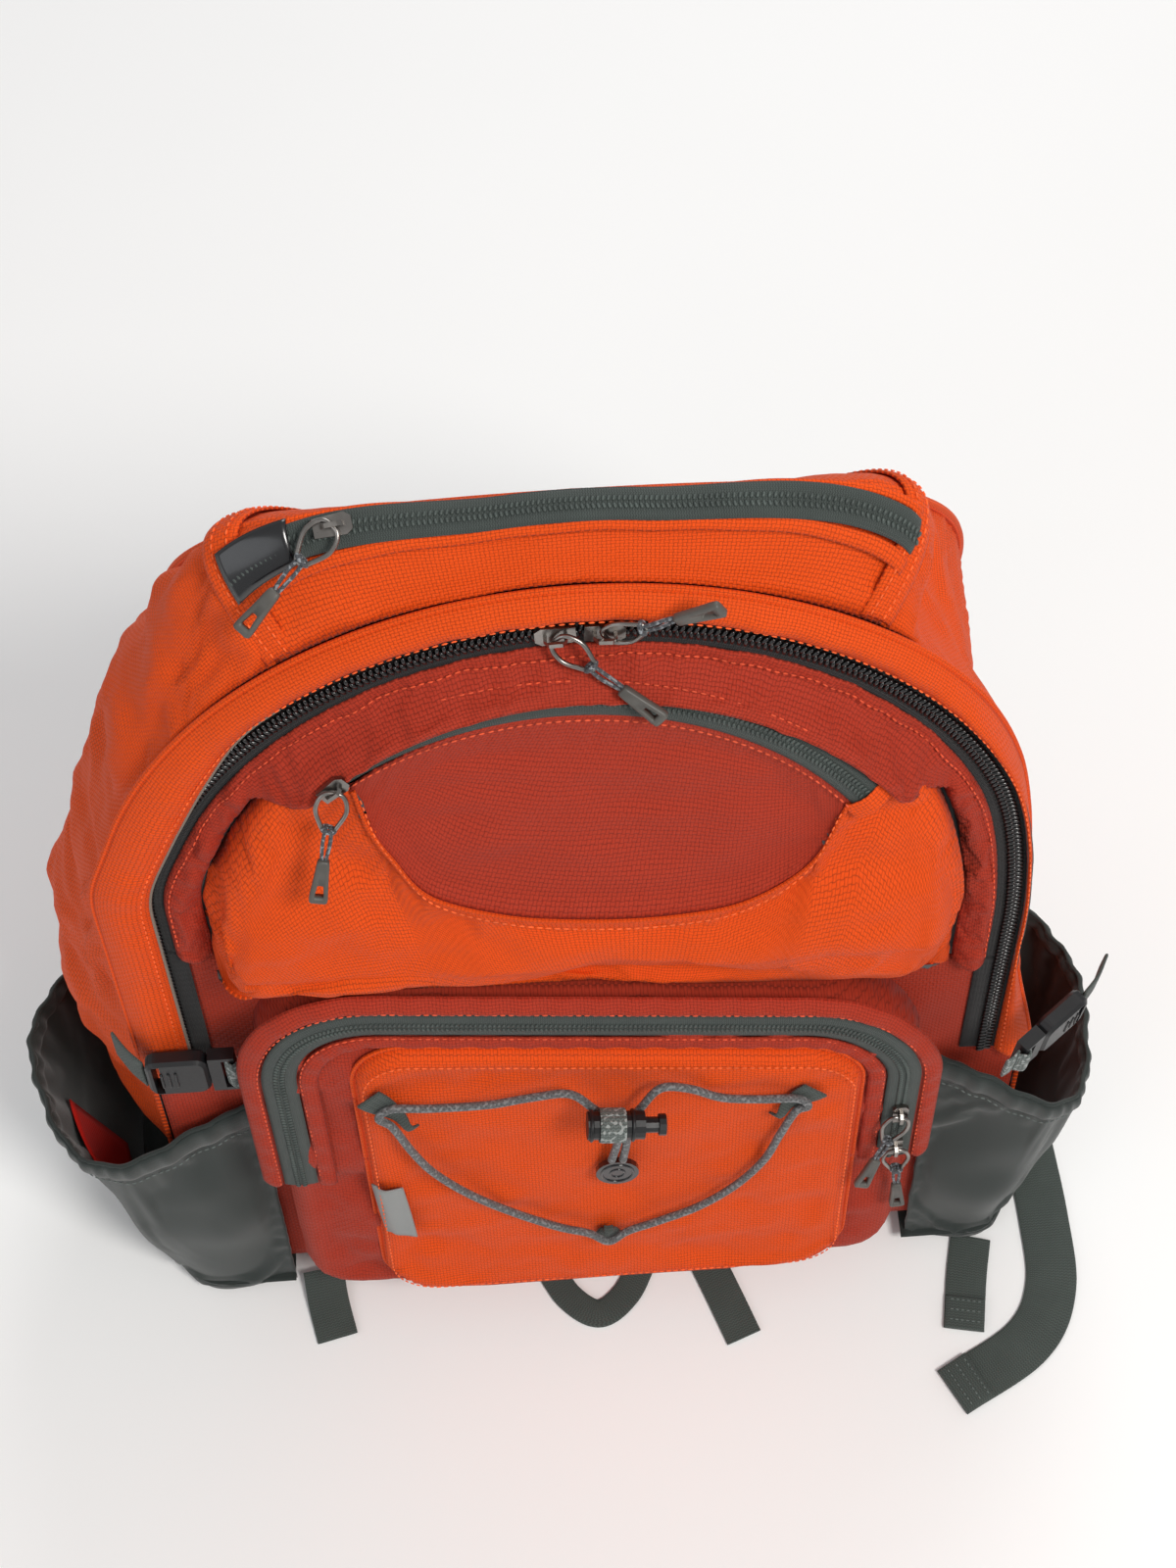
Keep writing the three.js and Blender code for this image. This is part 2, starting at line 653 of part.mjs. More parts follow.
function makeSliders() {
  const mainScale = 1.2;
  const mainFoot = 1 + gap;
  for (const [side, name, aim] of [
    [-1, 'main_left', onFront(28, 182, 21)],
    [1, 'main_right', onFront(49, 238, 20)],
  ]) {
    const point = archPoint(side * 8.6, archRadius, archCentre, 0);
    const tangent = new THREE.Vector3(side * Math.cos(point.angle), 0, 0)
      .addScaledVector(up, -Math.abs(Math.sin(point.angle)));
    addSlider(name, onFront(point.u, point.v, mainFoot), tangent, wallOut, aim, mainScale);
  }

  const lift = topZip.lift + tapeThickness + 2.5 * gap;
  const topAt = s => onWall(s, topZipRow(s), lift);
  const topStart = -64;
  const topAlong = topAt(topStart + 3).sub(topAt(topStart - 3));
  const topRow = topZipRow(topStart);
  const topAcross = onWall(topStart, topRow + 0.05, lift).sub(onWall(topStart, topRow - 0.05, lift));
  const topOut = new THREE.Vector3().crossVectors(topAlong, topAcross).normalize();
  addSlider('top', topAt(topStart), topAlong, topOut, onFront(-134, 211, 20), 1.1);

  const upperLift = 2 * gap + tapeThickness + gap;
  const upperAt = angle => onUpperPocket(
    upperZip.u + upperZip.radius * Math.sin(angle),
    upperZip.v + upperZip.radius * Math.cos(angle),
    upperLift,
  );
  const upperSlope = onUpperPocket(0, 120, 0).sub(onUpperPocket(0, 119, 0)).normalize();
  const upperOut = new THREE.Vector3().crossVectors(across, upperSlope).normalize();
  const upperStart = upperZip.from + 0.05;
  const upperAlong = upperAt(upperStart + 0.02).sub(upperAt(upperStart - 0.02));
  addSlider('upper', upperAt(upperStart), upperAlong, upperOut, onUpperPocket(-104, 96, 16));

  const lowerFoot = lowerPocket.depth + gap + tapeThickness + gap;
  const legU = lowerZip.half;
  addSlider('lower_first', onFront(legU, -76, lowerFoot), up, wallOut, onFront(117, -122, 40));
  const down = up.clone().negate();
  addSlider('lower_second', onFront(legU, -106, lowerFoot), down, wallOut, onFront(136, -152, 34));
}

// ---------------------------------------------------------------- bungee and its cord lock

const bungeeDiameter = 3.6;
const faceHeight = lowerPocket.depth + lowerFace.rise;
const bungeeHeight = faceHeight + gap + bungeeDiameter / 2 + 0.6;
const tabHeight = faceHeight + gap;

// Route of the bungee on the pocket's face: u, v and extra height, from one free end under the
// cord lock round both upper tabs and the lower tab to the other end.
const bungeeRoute = [
  [5, -90, 1], [8, -72, 1], [6, -56, 1.5], [-2, -44, 2.2], [-12, -33, 1.5], [-28, -38, 0], [-46, -43, 0],
  [-70, -45, 0], [-86, -45, 0], [-92, -50, 1], [-87, -58, 0], [-80, -78, 0], [-72, -96, 0],
  [-58, -116, 0], [-40, -134, 0], [-20, -150, 0], [-6, -158, 0], [3, -165, 1], [12, -158, 0],
  [26, -150, 0], [44, -138, 0], [60, -120, 0], [72, -98, 0], [78, -76, 0], [84, -54, 0],
  [89, -47, 1], [84, -42, 0], [68, -42, 0], [52, -40, 0], [38, -32, 0], [26, -29, 1.5],
  [18, -43, 2.2], [13, -56, 1.5], [12, -72, 1], [10, -90, 1],
];

function makeBungee() {
  const route = bungeeRoute.map(([u, v, rise]) => onFront(u, v, bungeeHeight + rise));
  add('bungee_cord', cordTube(route, bungeeDiameter, 76), cordGrey);

  const tabs = [
    ['bungee_tab_left', -87, -50, -20, 20],
    ['bungee_tab_right', 84, -48, 20, 20],
    ['bungee_tab_bottom', 3, -161, 0, -16],
  ];
  for (const [name, u, v, awayU, awayV] of tabs) {
    const toes = new THREE.Vector2(-awayV, awayU).normalize().multiplyScalar(7);
    const outline = new THREE.Shape([
      new THREE.Vector2(u - awayU * 0.35 + toes.x * 0.3, v - awayV * 0.35 + toes.y * 0.3),
      new THREE.Vector2(u + awayU * 0.35 + toes.x, v + awayV * 0.35 + toes.y),
      new THREE.Vector2(u + awayU * 0.35 - toes.x, v + awayV * 0.35 - toes.y),
      new THREE.Vector2(u - awayU * 0.35 - toes.x * 0.3, v - awayV * 0.35 - toes.y * 0.3),
    ]);
    add(name, plate(outline, tabHeight - gap + 0.2, tabHeight + 0.2), webbing);
  }

  const barrel = { length: 24, radius: 6 };
  const lockHeight = bungeeHeight + 10.8;
  const lockAt = onFront(6.5, -43, lockHeight);
  const axis = onFront(20, -43, lockHeight).sub(onFront(0, -43, lockHeight)).normalize();
  const tube = new THREE.CylinderGeometry(barrel.radius, barrel.radius, barrel.length, 14);
  tube.rotateZ(Math.PI / 2);
  const bore = new THREE.CylinderGeometry(4, 4, barrel.length, 12);
  bore.rotateZ(Math.PI / 2);
  bore.translate(3, 0, 0);
  addTurned('cord_lock_barrel', cut(tube, bore), blackPlastic, lockAt, axis, wallOut);
  const stem = new THREE.CylinderGeometry(3.4, 3.4, 18, 10);
  const button = new THREE.CylinderGeometry(4.6, 4.6, 3, 12);
  button.translate(0, 10, 0);
  const plunger = join(stem, button);
  plunger.rotateZ(-Math.PI / 2);
  const plungerAt = lockAt.clone().addScaledVector(axis, 9.5);
  addTurned('cord_lock_plunger', plunger, blackPlastic, plungerAt, axis, wallOut);

  const disc = new THREE.CylinderGeometry(9.5, 9.5, 2.6, 18);
  disc.rotateX(Math.PI / 2);
  addTurned('cord_end_disc', disc, blackPlastic, onFront(7.5, -102, faceHeight + 2.4), across, wallOut);
}

// ---------------------------------------------------------------- compression buckles

const buckle = { width: 24, thickness: 8, body: 26, tongue: 15, base: 11 };
const buckleStrap = 19;

function femaleGeometry() {
  const outline = roundedOutline(-buckle.body, 0, -buckle.width / 2, buckle.width / 2, 5, 5);
  const body = new THREE.ExtrudeGeometry(outline, {
    depth: buckle.thickness - 3,
    bevelThickness: 1.5,
    bevelSize: 1.5,
    bevelOffset: -1.5,
    bevelSegments: 1,
    curveSegments: 3,
  });
  body.translate(0, 0, -buckle.thickness / 2 + 1.5);
  const mouth = new THREE.BoxGeometry(36, 17, 4.4);
  const slot = new THREE.BoxGeometry(3.4, buckleStrap + 1, 20);
  slot.translate(-buckle.body + 4.6, 0, 0);
  return cut(body, mouth, slot);
}

function maleGeometry() {
  const base = new THREE.BoxGeometry(buckle.base, buckle.width, buckle.thickness - 2);
  base.translate(buckle.base / 2 + 0.6, 0, 0);
  const tongue = new THREE.BoxGeometry(buckle.tongue + 2, 16, 3.2);
  tongue.translate(-buckle.tongue / 2 + 1, 0, 0);
  const slot = new THREE.BoxGeometry(3.4, buckleStrap + 1, 20);
  slot.translate(buckle.base - 3.2, 0, 0);
  return cut(join(base, tongue), slot);
}

// The webbing folds through the buckle's slot, so its end stands clear of the slot's bar.
function makeBuckle(side, seat, toPocket, out, bodyEnd, pocketEnd) {
  const along = toPocket.clone().normalize();
  addTurned(`buckle_female_${side}`, femaleGeometry(), blackPlastic, seat, along, out);
  addTurned(`buckle_male_${side}`, maleGeometry(), blackPlastic, seat, along, out);
  const wide = new THREE.Vector3().crossVectors(out, along);
  const bodyStart = seat.clone().addScaledVector(along, -buckle.body - 1);
  const pocketStart = seat.clone().addScaledVector(along, buckle.base + 1.6);
  const middle = bodyStart.clone().lerp(bodyEnd, 0.5);
  add(
    `compression_strap_${side}`,
    strap([bodyStart, middle, bodyEnd], buckleStrap, webbingThickness, () => wide.clone(), 4),
    webbing,
  );
  const pocketMiddle = pocketStart.clone().lerp(pocketEnd, 0.5);
  add(
    `pocket_strap_${side}`,
    strap([pocketStart, pocketMiddle, pocketEnd], buckleStrap, webbingThickness, () => wide.clone(), 3),
    webbing,
  );
}

function makeBuckles() {
  const leftSeat = onFront(-161, -49, 15);
  makeBuckle(
    'left',
    leftSeat.clone().addScaledVector(across, -1),
    across,
    wallOut,
    onFront(-201, -47, 3),
    onFront(-144.5, -50, 15),
  );
  const rightSeat = new THREE.Vector3(188, -181, 214);
  const rightAlong = new THREE.Vector3(-0.8, -0.6, 0);
  const rightOut = new THREE.Vector3(0.6, -0.8, 0);
  makeBuckle(
    'right',
    rightSeat,
    rightAlong,
    rightOut,
    new THREE.Vector3(222, -148, 214),
    new THREE.Vector3(172, -193, 214),
  );
}

// ---------------------------------------------------------------- straps and webbing

const padThickness = 13;
const padWidth = 66;

function makeShoulderStrap(name, side) {
  const route = [
    [50, -2, 352], [56, 12, 338], [64, 32, 305], [76, 45, 262],
    [89, 47, 215], [101, 38, 170], [110, 27, 136],
  ].map(([x, y, z]) => new THREE.Vector3(side * x, y, z));
  const taper = t => 1 - 0.42 * smooth(t, 0.55, 1);
  const curve = new THREE.CatmullRomCurve3(route, false, 'centripetal');
  add(name, slab(14, 2, (t, wide, lift) => {
    const flat = new THREE.Vector3(1, 0, 0);
    const thin = new THREE.Vector3().crossVectors(flat, curve.getTangentAt(t)).normalize();
    const crown = 1 - 0.35 * Math.abs(2 * wide - 1);
    return curve.getPointAt(t)
      .addScaledVector(flat, (wide - 0.5) * padWidth * taper(t))
      .addScaledVector(thin, (lift - 0.5) * padThickness * crown);
  }), darkFabric);
}

// A ladder-lock buckle: a frame with two openings across it.
function ladderGeometry() {
  const frame = new THREE.BoxGeometry(24, 31, 4);
  const first = new THREE.BoxGeometry(5, 25, 8);
  first.translate(-5.5, 0, 0);
  const second = new THREE.BoxGeometry(5, 25, 8);
  second.translate(5.5, 0, 0);
  return cut(frame, first, second);
}

function makeStraps() {
  for (const [side, name] of [[-1, 'left'], [1, 'right']]) {
    makeShoulderStrap(`shoulder_strap_${name}`, side);
    const lockAt = new THREE.Vector3(side * 115.5, 21, 114);
    const down = new THREE.Vector3(side * 0.28, -0.02, -1);
    const rearward = new THREE.Vector3(0, 1, 0);
    addTurned(`ladder_lock_${name}`, ladderGeometry(), blackPlastic, lockAt, down, rearward);
    add(`strap_webbing_${name}`, strap(
      [
        new THREE.Vector3(side * 119.6, 21, 100),
        new THREE.Vector3(side * 130, 17, 72),
        new THREE.Vector3(side * 140, 9, 48),
        new THREE.Vector3(side * 146, 2.2, 34),
      ],
      25,
      webbingThickness,
      () => new THREE.Vector3(1, 0, side * 0.28),
      8,
    ), webbing);
  }

  const loopRoute = [
    [-42, -15, 380], [-36, -7, 376], [-18, 1, 368], [0, 3, 364],
    [18, 1, 368], [36, -7, 376], [42, -15, 380],
  ].map(([x, y, z]) => new THREE.Vector3(x, y, z));
  add('haul_loop', strap(loopRoute, 20, 3, () => new THREE.Vector3(0, -0.2, 0.98), 16), webbing);
}

// Webbing that lies on the floor: flat strips, given by x and y along their middle.
function floorStrip(name, route, width, height = webbingThickness / 2, steps = 12) {
  const points = route.map(([x, y, z = height]) => new THREE.Vector3(x, y, z));
  const curve = new THREE.CatmullRomCurve3(points, false, 'centripetal');
  const sideways = t => {
    const tangent = curve.getTangentAt(t);
    return new THREE.Vector3(-tangent.y, tangent.x, 0);
  };
  add(name, strap(points, width, webbingThickness, sideways, steps), webbing);
}

function makeFloorWebbing() {
  const wide = 25;
  const narrow = 20;
  floorStrip('waist_tail_left', [[-137, -198.5, 7], [-135, -214, 2.4], [-131, -232]], narrow, undefined, 5);
  floorStrip(
    'waist_tail_right',
    [[222, -152], [224, -196], [222, -232], [206, -258], [166, -280]],
    wide,
    undefined,
    16,
  );
  floorStrip('short_tail_right', [[186, -204], [181, -224], [176, -250]], narrow, undefined, 4);
  floorStrip('bottom_loop_middle', [[-26, -203], [-16, -220], [-2, -229], [12, -220], [22, -203]], 14);
  floorStrip('bottom_loop_right', [[52, -203], [60, -224], [68, -246]], 18, undefined, 5);
}

makeBack();
makeBody();
makeMainZip();
makePockets();
makeTopZip();
makeSliders();
makeBungee();
makeBuckles();
makeStraps();
makeFloorWebbing();

// ---------------------------------------------------------------- placing

// The bounding box's middle goes over the origin, and its lowest point to the floor.
const box = new THREE.Box3().setFromObject(model);
model.position.set(-(box.min.x + box.max.x) / 2, -(box.min.y + box.max.y) / 2, -box.min.z);
model.updateMatrixWorld(true);

export default model;
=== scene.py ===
"""Travel backpack: fabric, webbing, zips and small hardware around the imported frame."""
import json
import math

import bpy
import numpy as np
from mathutils import Matrix, Vector, noise

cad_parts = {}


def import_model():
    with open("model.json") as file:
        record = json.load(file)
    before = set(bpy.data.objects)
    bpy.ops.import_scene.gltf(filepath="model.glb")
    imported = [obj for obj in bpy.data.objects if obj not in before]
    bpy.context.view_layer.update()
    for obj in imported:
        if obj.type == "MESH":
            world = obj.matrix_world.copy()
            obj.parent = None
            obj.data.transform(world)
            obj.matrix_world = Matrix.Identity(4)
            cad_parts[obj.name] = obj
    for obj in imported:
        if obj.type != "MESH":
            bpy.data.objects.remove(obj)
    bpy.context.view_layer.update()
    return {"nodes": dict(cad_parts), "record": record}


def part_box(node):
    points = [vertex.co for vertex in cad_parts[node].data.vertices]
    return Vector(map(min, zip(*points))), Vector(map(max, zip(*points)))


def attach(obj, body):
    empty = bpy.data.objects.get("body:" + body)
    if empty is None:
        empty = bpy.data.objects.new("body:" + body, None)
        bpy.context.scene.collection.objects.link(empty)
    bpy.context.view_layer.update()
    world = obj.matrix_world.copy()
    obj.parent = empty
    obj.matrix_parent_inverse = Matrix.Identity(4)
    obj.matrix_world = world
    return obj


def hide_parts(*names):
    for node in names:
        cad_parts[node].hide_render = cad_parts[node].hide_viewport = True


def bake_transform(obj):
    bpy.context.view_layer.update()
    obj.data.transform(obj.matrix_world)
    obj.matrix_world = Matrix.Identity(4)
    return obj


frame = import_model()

MM = 0.001

# ---------------------------------------------------------------- the pack's own coordinates

# Millimetres from the middle of the back panel: x across, y back from the back plane, z up.
_low, _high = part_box("back_panel")
OFFSET = np.array([(_low[0] + _high[0]) / 2, _high[1], 0.0]) / MM

LEAN = math.atan(0.195)
SIN, COS = math.sin(LEAN), math.cos(LEAN)
FOLD_HEIGHT, FOLD_DEPTH = 250, 150
FRONT_BOTTOM = -(FOLD_HEIGHT - 22.4) / COS
ARCH_RADIUS, ARCH_CENTRE, ZIP_END, FOLD = 173, 38, -70, 12
BAND_WIDTH, TAPE_OUT, TAPE_IN = 20, 4.2, 9
BACK_RADIUS, BACK_CENTRE = 165, 309
TOP_SEAM = 100
GAP = 0.4
PACK_CENTRE = np.array([0.0, -80.0, 220.0])


def smooth(x, start, end):
    t = np.clip((np.asarray(x, float) - start) / (end - start), 0, 1)
    return t * t * (3 - 2 * t)


def hang(v):
    """How far the loaded front hangs down for each millimetre to the right."""
    below = 0.045 * smooth(v, -220, -95) + 0.085 * smooth(v, -95, -10)
    return below * (1 - smooth(v, 30, 110))


def on_plane(u, v, n):
    u, v, n = np.broadcast_arrays(np.asarray(u, float), v, n)
    y = -FOLD_DEPTH + v * SIN - n * COS
    return np.stack([u, y, FOLD_HEIGHT + v * COS + n * SIN], -1)


def on_front(u, v, n):
    """A point by the leaning front wall: u across, v up the wall from the fold, n out of it."""
    return on_plane(u, v - np.asarray(u) * hang(v), n)


def arch_point(s, offset, radius=ARCH_RADIUS, centre=ARCH_CENTRE):
    """A half circle on two legs, by the distance s from its top, and the outward angle."""
    s = np.asarray(s, float)
    quarter = radius * math.pi / 2
    angle = np.clip(s, -quarter, quarter) / radius
    leg = np.maximum(np.abs(s) - quarter, 0)
    reach = radius + offset
    return reach * np.sin(angle), centre + reach * np.cos(angle) - leg, angle


def leg_length(v):
    return ARCH_RADIUS * math.pi / 2 + ARCH_CENTRE - v


ARCH_LENGTH = leg_length(FRONT_BOTTOM)
BACK_LENGTH = BACK_RADIUS * math.pi / 2 + BACK_CENTRE - 22.4


def lean_at(z):
    """How far forward the back stands at a height."""
    return 0.012 * np.maximum(np.asarray(z, float) - 290, 0) ** 1.65


def turn_at(s):
    """How much of its turn backwards the band has made, round the right side of the arch."""
    return smooth(s, 90, 230) * (1 - smooth(s, 290, 378))


def on_wall(s, t, outward):
    """The side and top wall: s round the arch, t from the front seam to the back."""
    s, t, outward = np.broadcast_arrays(np.asarray(s, float), t, outward)
    side = np.abs(s)
    u, v, angle = arch_point(s, BAND_WIDTH + GAP - 12 * turn_at(s))
    back_u, back_v, _ = arch_point(s * BACK_LENGTH / ARCH_LENGTH, 0, BACK_RADIUS, BACK_CENTRE)
    low = smooth(side, 220, 390) * (1 - 0.8 * smooth(side, 400, 520))
    high_bulge, low_bulge = np.where(s < 0, 20, -5), np.where(s < 0, 60, 20)
    side_bulge = high_bulge + (low_bulge - high_bulge) * low
    shoulder = 22 * (smooth(side, 20, 95) - smooth(side, 105, np.where(s < 0, 175, 128)))
    bulge = 20 + (side_bulge - 20) * smooth(side, 90, np.where(s < 0, 220, 130)) + shoulder
    back = np.stack([back_u, -lean_at(back_v), back_v], -1)
    point = on_front(u, v, -1 - 14 * turn_at(s)) * (1 - t)[..., None] + back * t[..., None]
    reach = bulge * 4 * t * (1 - t) + outward
    out = np.stack([np.sin(angle), np.zeros_like(angle), np.cos(angle)], -1)
    return point + reach[..., None] * out


UPPER_RADIUS, UPPER_CENTRE, UPPER_BOTTOM = 150, 44, 16
ZIP_U, ZIP_V, ZIP_RADIUS, ZIP_FROM, ZIP_TO, ZIP_WIDTH = -5, 49, 136, -0.73, 0.94, 13


def upper_front(v):
    return 33 + (v - 50) * -0.163


def upper_height(u, v):
    """How far the upper pocket stands off the wall, rounded down to it at its outline."""
    v = np.asarray(v, float)
    full = np.where(v > 50, upper_front(v), 6 + (v + 4) * 0.5)
    full = np.minimum(full, upper_front(v))
    inside = np.where(
        v > UPPER_CENTRE,
        UPPER_RADIUS - np.hypot(u, v - UPPER_CENTRE),
        UPPER_RADIUS - np.abs(u),
    )
    edge = np.clip(inside / np.maximum(7.5, full * 0.55), 0, 1)
    return full * np.sqrt(np.clip(1 - (1 - edge) ** 2, 0, 1))


def on_upper(u, v, n):
    height = v - np.asarray(u) * hang(v)
    return on_plane(u, height, upper_height(u, height) + n)


def lower_zip(t, offset):
    """The lower pocket's zip: a rounded arch, by the fraction t from its left end."""
    half, top, end, corner = 132, 0, -118, 44
    t = np.asarray(t, float)
    leg, arc, span = top - corner - end, corner * math.pi / 2, 2 * (half - corner)
    total = 2 * leg + 2 * arc + span
    s = t * total
    mirrored = s > total / 2
    d = np.where(mirrored, total - s, s)
    angle = np.clip((d - leg) / corner, 0, math.pi / 2)
    u = -(half - corner) - (corner + offset) * np.cos(angle) + np.maximum(d - leg - arc, 0)
    v = top - corner + (corner + offset) * np.sin(angle) - np.maximum(leg - d, 0)
    return np.where(mirrored, -u, u), v


POCKET_DEPTH, FACE_RISE = 27, 9


def world(points):
    return (np.asarray(points, float) + OFFSET) * MM


# ---------------------------------------------------------------- materials

class Shade:
    """A material under construction: a Principled shader and short ways to wire nodes."""

    def __init__(self, name, rough, metal=0.0, sheen=0.0, coat=0.0):
        self.mat = bpy.data.materials.new(name)
        self.mat.use_nodes = True
        self.tree = self.mat.node_tree
        self.bsdf = self.tree.nodes["Principled BSDF"]
        self.bsdf.inputs["Roughness"].default_value = rough
        self.bsdf.inputs["Metallic"].default_value = metal
        self.bsdf.inputs["Sheen Weight"].default_value = sheen
        self.bsdf.inputs["Coat Weight"].default_value = coat

    def node(self, kind, **settings):
        made = self.tree.nodes.new(kind)
        for key, value in settings.items():
            setattr(made, key, value)
        return made

    def put(self, socket, value):
        if isinstance(value, bpy.types.NodeSocket):
            self.tree.links.new(value, socket)
        else:
            socket.default_value = value

    def math(self, operation, *values):
        made = self.node("ShaderNodeMath", operation=operation)
        for socket, value in zip(made.inputs, values):
            self.put(socket, value)
        return made.outputs[0]

    def mix(self, factor, first, second):
        made = self.node("ShaderNodeMix", data_type="RGBA")
        for socket, value in ((made.inputs[0], factor), (made.inputs[6], first), (made.inputs[7], second)):
            self.put(socket, value)
        return made.outputs[2]

    def noise(self, vector, scale, detail=3.0, rough=0.55):
        made = self.node("ShaderNodeTexNoise")
        self.put(made.inputs["Vector"], vector)
        made.inputs["Scale"].default_value = scale
        made.inputs["Detail"].default_value = detail
        made.inputs["Roughness"].default_value = rough
        return made.outputs["Fac"]

    def ramp(self, value, low, high):
        made = self.node("ShaderNodeMapRange")
        self.put(made.inputs["Value"], value)
        made.inputs["From Min"].default_value = low
        made.inputs["From Max"].default_value = high
        return made.outputs["Result"]

    def coords(self, kind):
        return self.node("ShaderNodeTexCoord").outputs[kind]

    def bump(self, height, distance, strength=1.0):
        made = self.node("ShaderNodeBump")
        made.inputs["Strength"].default_value = strength
        made.inputs["Distance"].default_value = distance
        self.put(made.inputs["Height"], height)
        self.put(self.bsdf.inputs["Normal"], made.outputs["Normal"])


def rgb(code):
    """A hex colour as linear RGBA."""
    parts = [int(code[i:i + 2], 16) / 255 for i in (0, 2, 4)]
    return tuple(c / 12.92 if c <= 0.04045 else ((c + 0.055) / 1.055) ** 2.4 for c in parts) + (1.0,)


def darker(colour, factor):
    return tuple(c * factor for c in colour[:3]) + (1.0,)


def fabric(name, code, pitch=1.1, rough=0.72, sheen=0.03, relief=0.16, fleck=0.14, coords="UV"):
    """Plain weave: over-and-under threads of the pitch in millimetres, with uneven yarns, and painted shade where the
    weave lies low.
    """
    shade = Shade(name, rough, sheen=sheen)
    shade.bsdf.inputs["Specular IOR Level"].default_value = 0.22
    where = shade.coords(coords)
    parts = shade.node("ShaderNodeSeparateXYZ")
    shade.put(parts.inputs[0], where)
    second = "Y" if coords == "UV" else "Z"
    x = shade.math("MULTIPLY", parts.outputs["X"], 1000 / pitch)
    y = shade.math("MULTIPLY", parts.outputs[second], 1000 / pitch)
    over = shade.math("PINGPONG", shade.math("ADD", shade.math("FLOOR", x), shade.math("FLOOR", y)), 1)
    warp = shade.math("ABSOLUTE", shade.math("SINE", shade.math("MULTIPLY", x, math.pi)))
    weft = shade.math("ABSOLUTE", shade.math("SINE", shade.math("MULTIPLY", y, math.pi)))
    height = shade.math(
        "ADD",
        shade.math("MULTIPLY", warp, over),
        shade.math("MULTIPLY", weft, shade.math("SUBTRACT", 1.0, over)),
    )
    yarn = shade.noise(where, 900, 1.0)
    cloudy = shade.noise(where, 14, 4.0)
    colour = rgb(code)
    # Painted shade: the colour is darkened where the weave lies low, between the threads, and a little lighter on their
    # tops.
    tone = shade.mix(shade.ramp(height, 0.0, 0.75), darker(colour, 1 - 2.6 * fleck), darker(colour, 1.06))
    tone = shade.mix(shade.math("MULTIPLY", shade.ramp(yarn, 0.35, 0.75), fleck), tone, darker(colour, 1.5))
    tone = shade.mix(shade.math("MULTIPLY", shade.ramp(cloudy, 0.3, 0.72), 0.22), tone, darker(colour, 0.8))
    shade.put(shade.bsdf.inputs["Base Color"], tone)
    shade.bump(shade.math("ADD", height, shade.math("MULTIPLY", yarn, 0.5)), relief * MM, 0.6)
    return shade.mat


def woven_tape(name, code, pitch=1.3, fleck_code=None, fleck=0.0, rough=0.8):
    """Webbing: ribs across its length and finer threads along it."""
    shade = Shade(name, rough, sheen=0.08)
    where = shade.coords("UV")
    parts = shade.node("ShaderNodeSeparateXYZ")
    shade.put(parts.inputs[0], where)
    along = shade.math("MULTIPLY", parts.outputs["X"], 1000 / pitch)
    wide = shade.math("MULTIPLY", parts.outputs["Y"], 1000 / (pitch * 0.8))
    shifted = shade.math("ADD", along, shade.math("MULTIPLY", shade.math("PINGPONG", wide, 1), 0.5))
    rib = shade.math("ABSOLUTE", shade.math("SINE", shade.math("MULTIPLY", shifted, math.pi)))
    thread = shade.math("ABSOLUTE", shade.math("SINE", shade.math("MULTIPLY", wide, math.pi)))
    height = shade.math("MULTIPLY", rib, shade.math("ADD", 0.5, shade.math("MULTIPLY", thread, 0.5)))
    colour = rgb(code)
    # Painted shade in the grooves between the ribs, and a painted highlight on the rib tops.
    tone = shade.mix(shade.ramp(height, 0.0, 0.9), darker(colour, 0.55), darker(colour, 1.2))
    worn = shade.noise(where, 45, 4.0)
    tone = shade.mix(shade.math("MULTIPLY", shade.ramp(worn, 0.45, 0.8), 0.3), tone, darker(colour, 1.6))
    if fleck_code:
        spots = shade.noise(where, 520, 0.0)
        tone = shade.mix(shade.math("MULTIPLY", shade.ramp(spots, 0.55, 0.62), fleck), tone, rgb(fleck_code))
    shade.put(shade.bsdf.inputs["Base Color"], tone)
    shade.bump(height, 0.3 * MM, 0.8)
    return shade.mat


def moulded(name, code, rough, coat=0.0, grain=700, depth=0.04):
    """Moulded plastic: fine spark-eroded grain and patches rubbed a little lighter."""
    shade = Shade(name, rough, coat=coat)
    shade.bsdf.inputs["Coat Roughness"].default_value = 0.12
    where = shade.coords("Object")
    grainy = shade.noise(where, grain, 2.0)
    rubbed = shade.noise(where, 60, 4.0)
    colour = rgb(code)
    tone = shade.mix(shade.ramp(rubbed, 0.35, 0.75), colour, darker(colour, 1.7))
    shade.put(shade.bsdf.inputs["Base Color"], tone)
    shade.put(shade.bsdf.inputs["Roughness"], shade.math("ADD", rough - 0.06, shade.math("MULTIPLY", grainy, 0.14)))
    shade.bump(grainy, depth * MM, 0.5)
    return shade.mat


def plated(name, code, rough):
    """Dark plated die casting: faint casting ripple, with wear to brighter metal."""
    shade = Shade(name, rough, metal=1.0)
    where = shade.coords("Object")
    ripple = shade.noise(where, 260, 3.0)
    worn = shade.noise(where, 110, 5.0, 0.7)
    colour = rgb(code)
    tone = shade.mix(shade.ramp(worn, 0.48, 0.72), colour, darker(colour, 1.45))
    shade.put(shade.bsdf.inputs["Base Color"], tone)
    shade.put(shade.bsdf.inputs["Roughness"], shade.math("ADD", rough - 0.05, shade.math("MULTIPLY", worn, 0.16)))
    shade.bump(ripple, 0.05 * MM, 0.4)
    return shade.mat


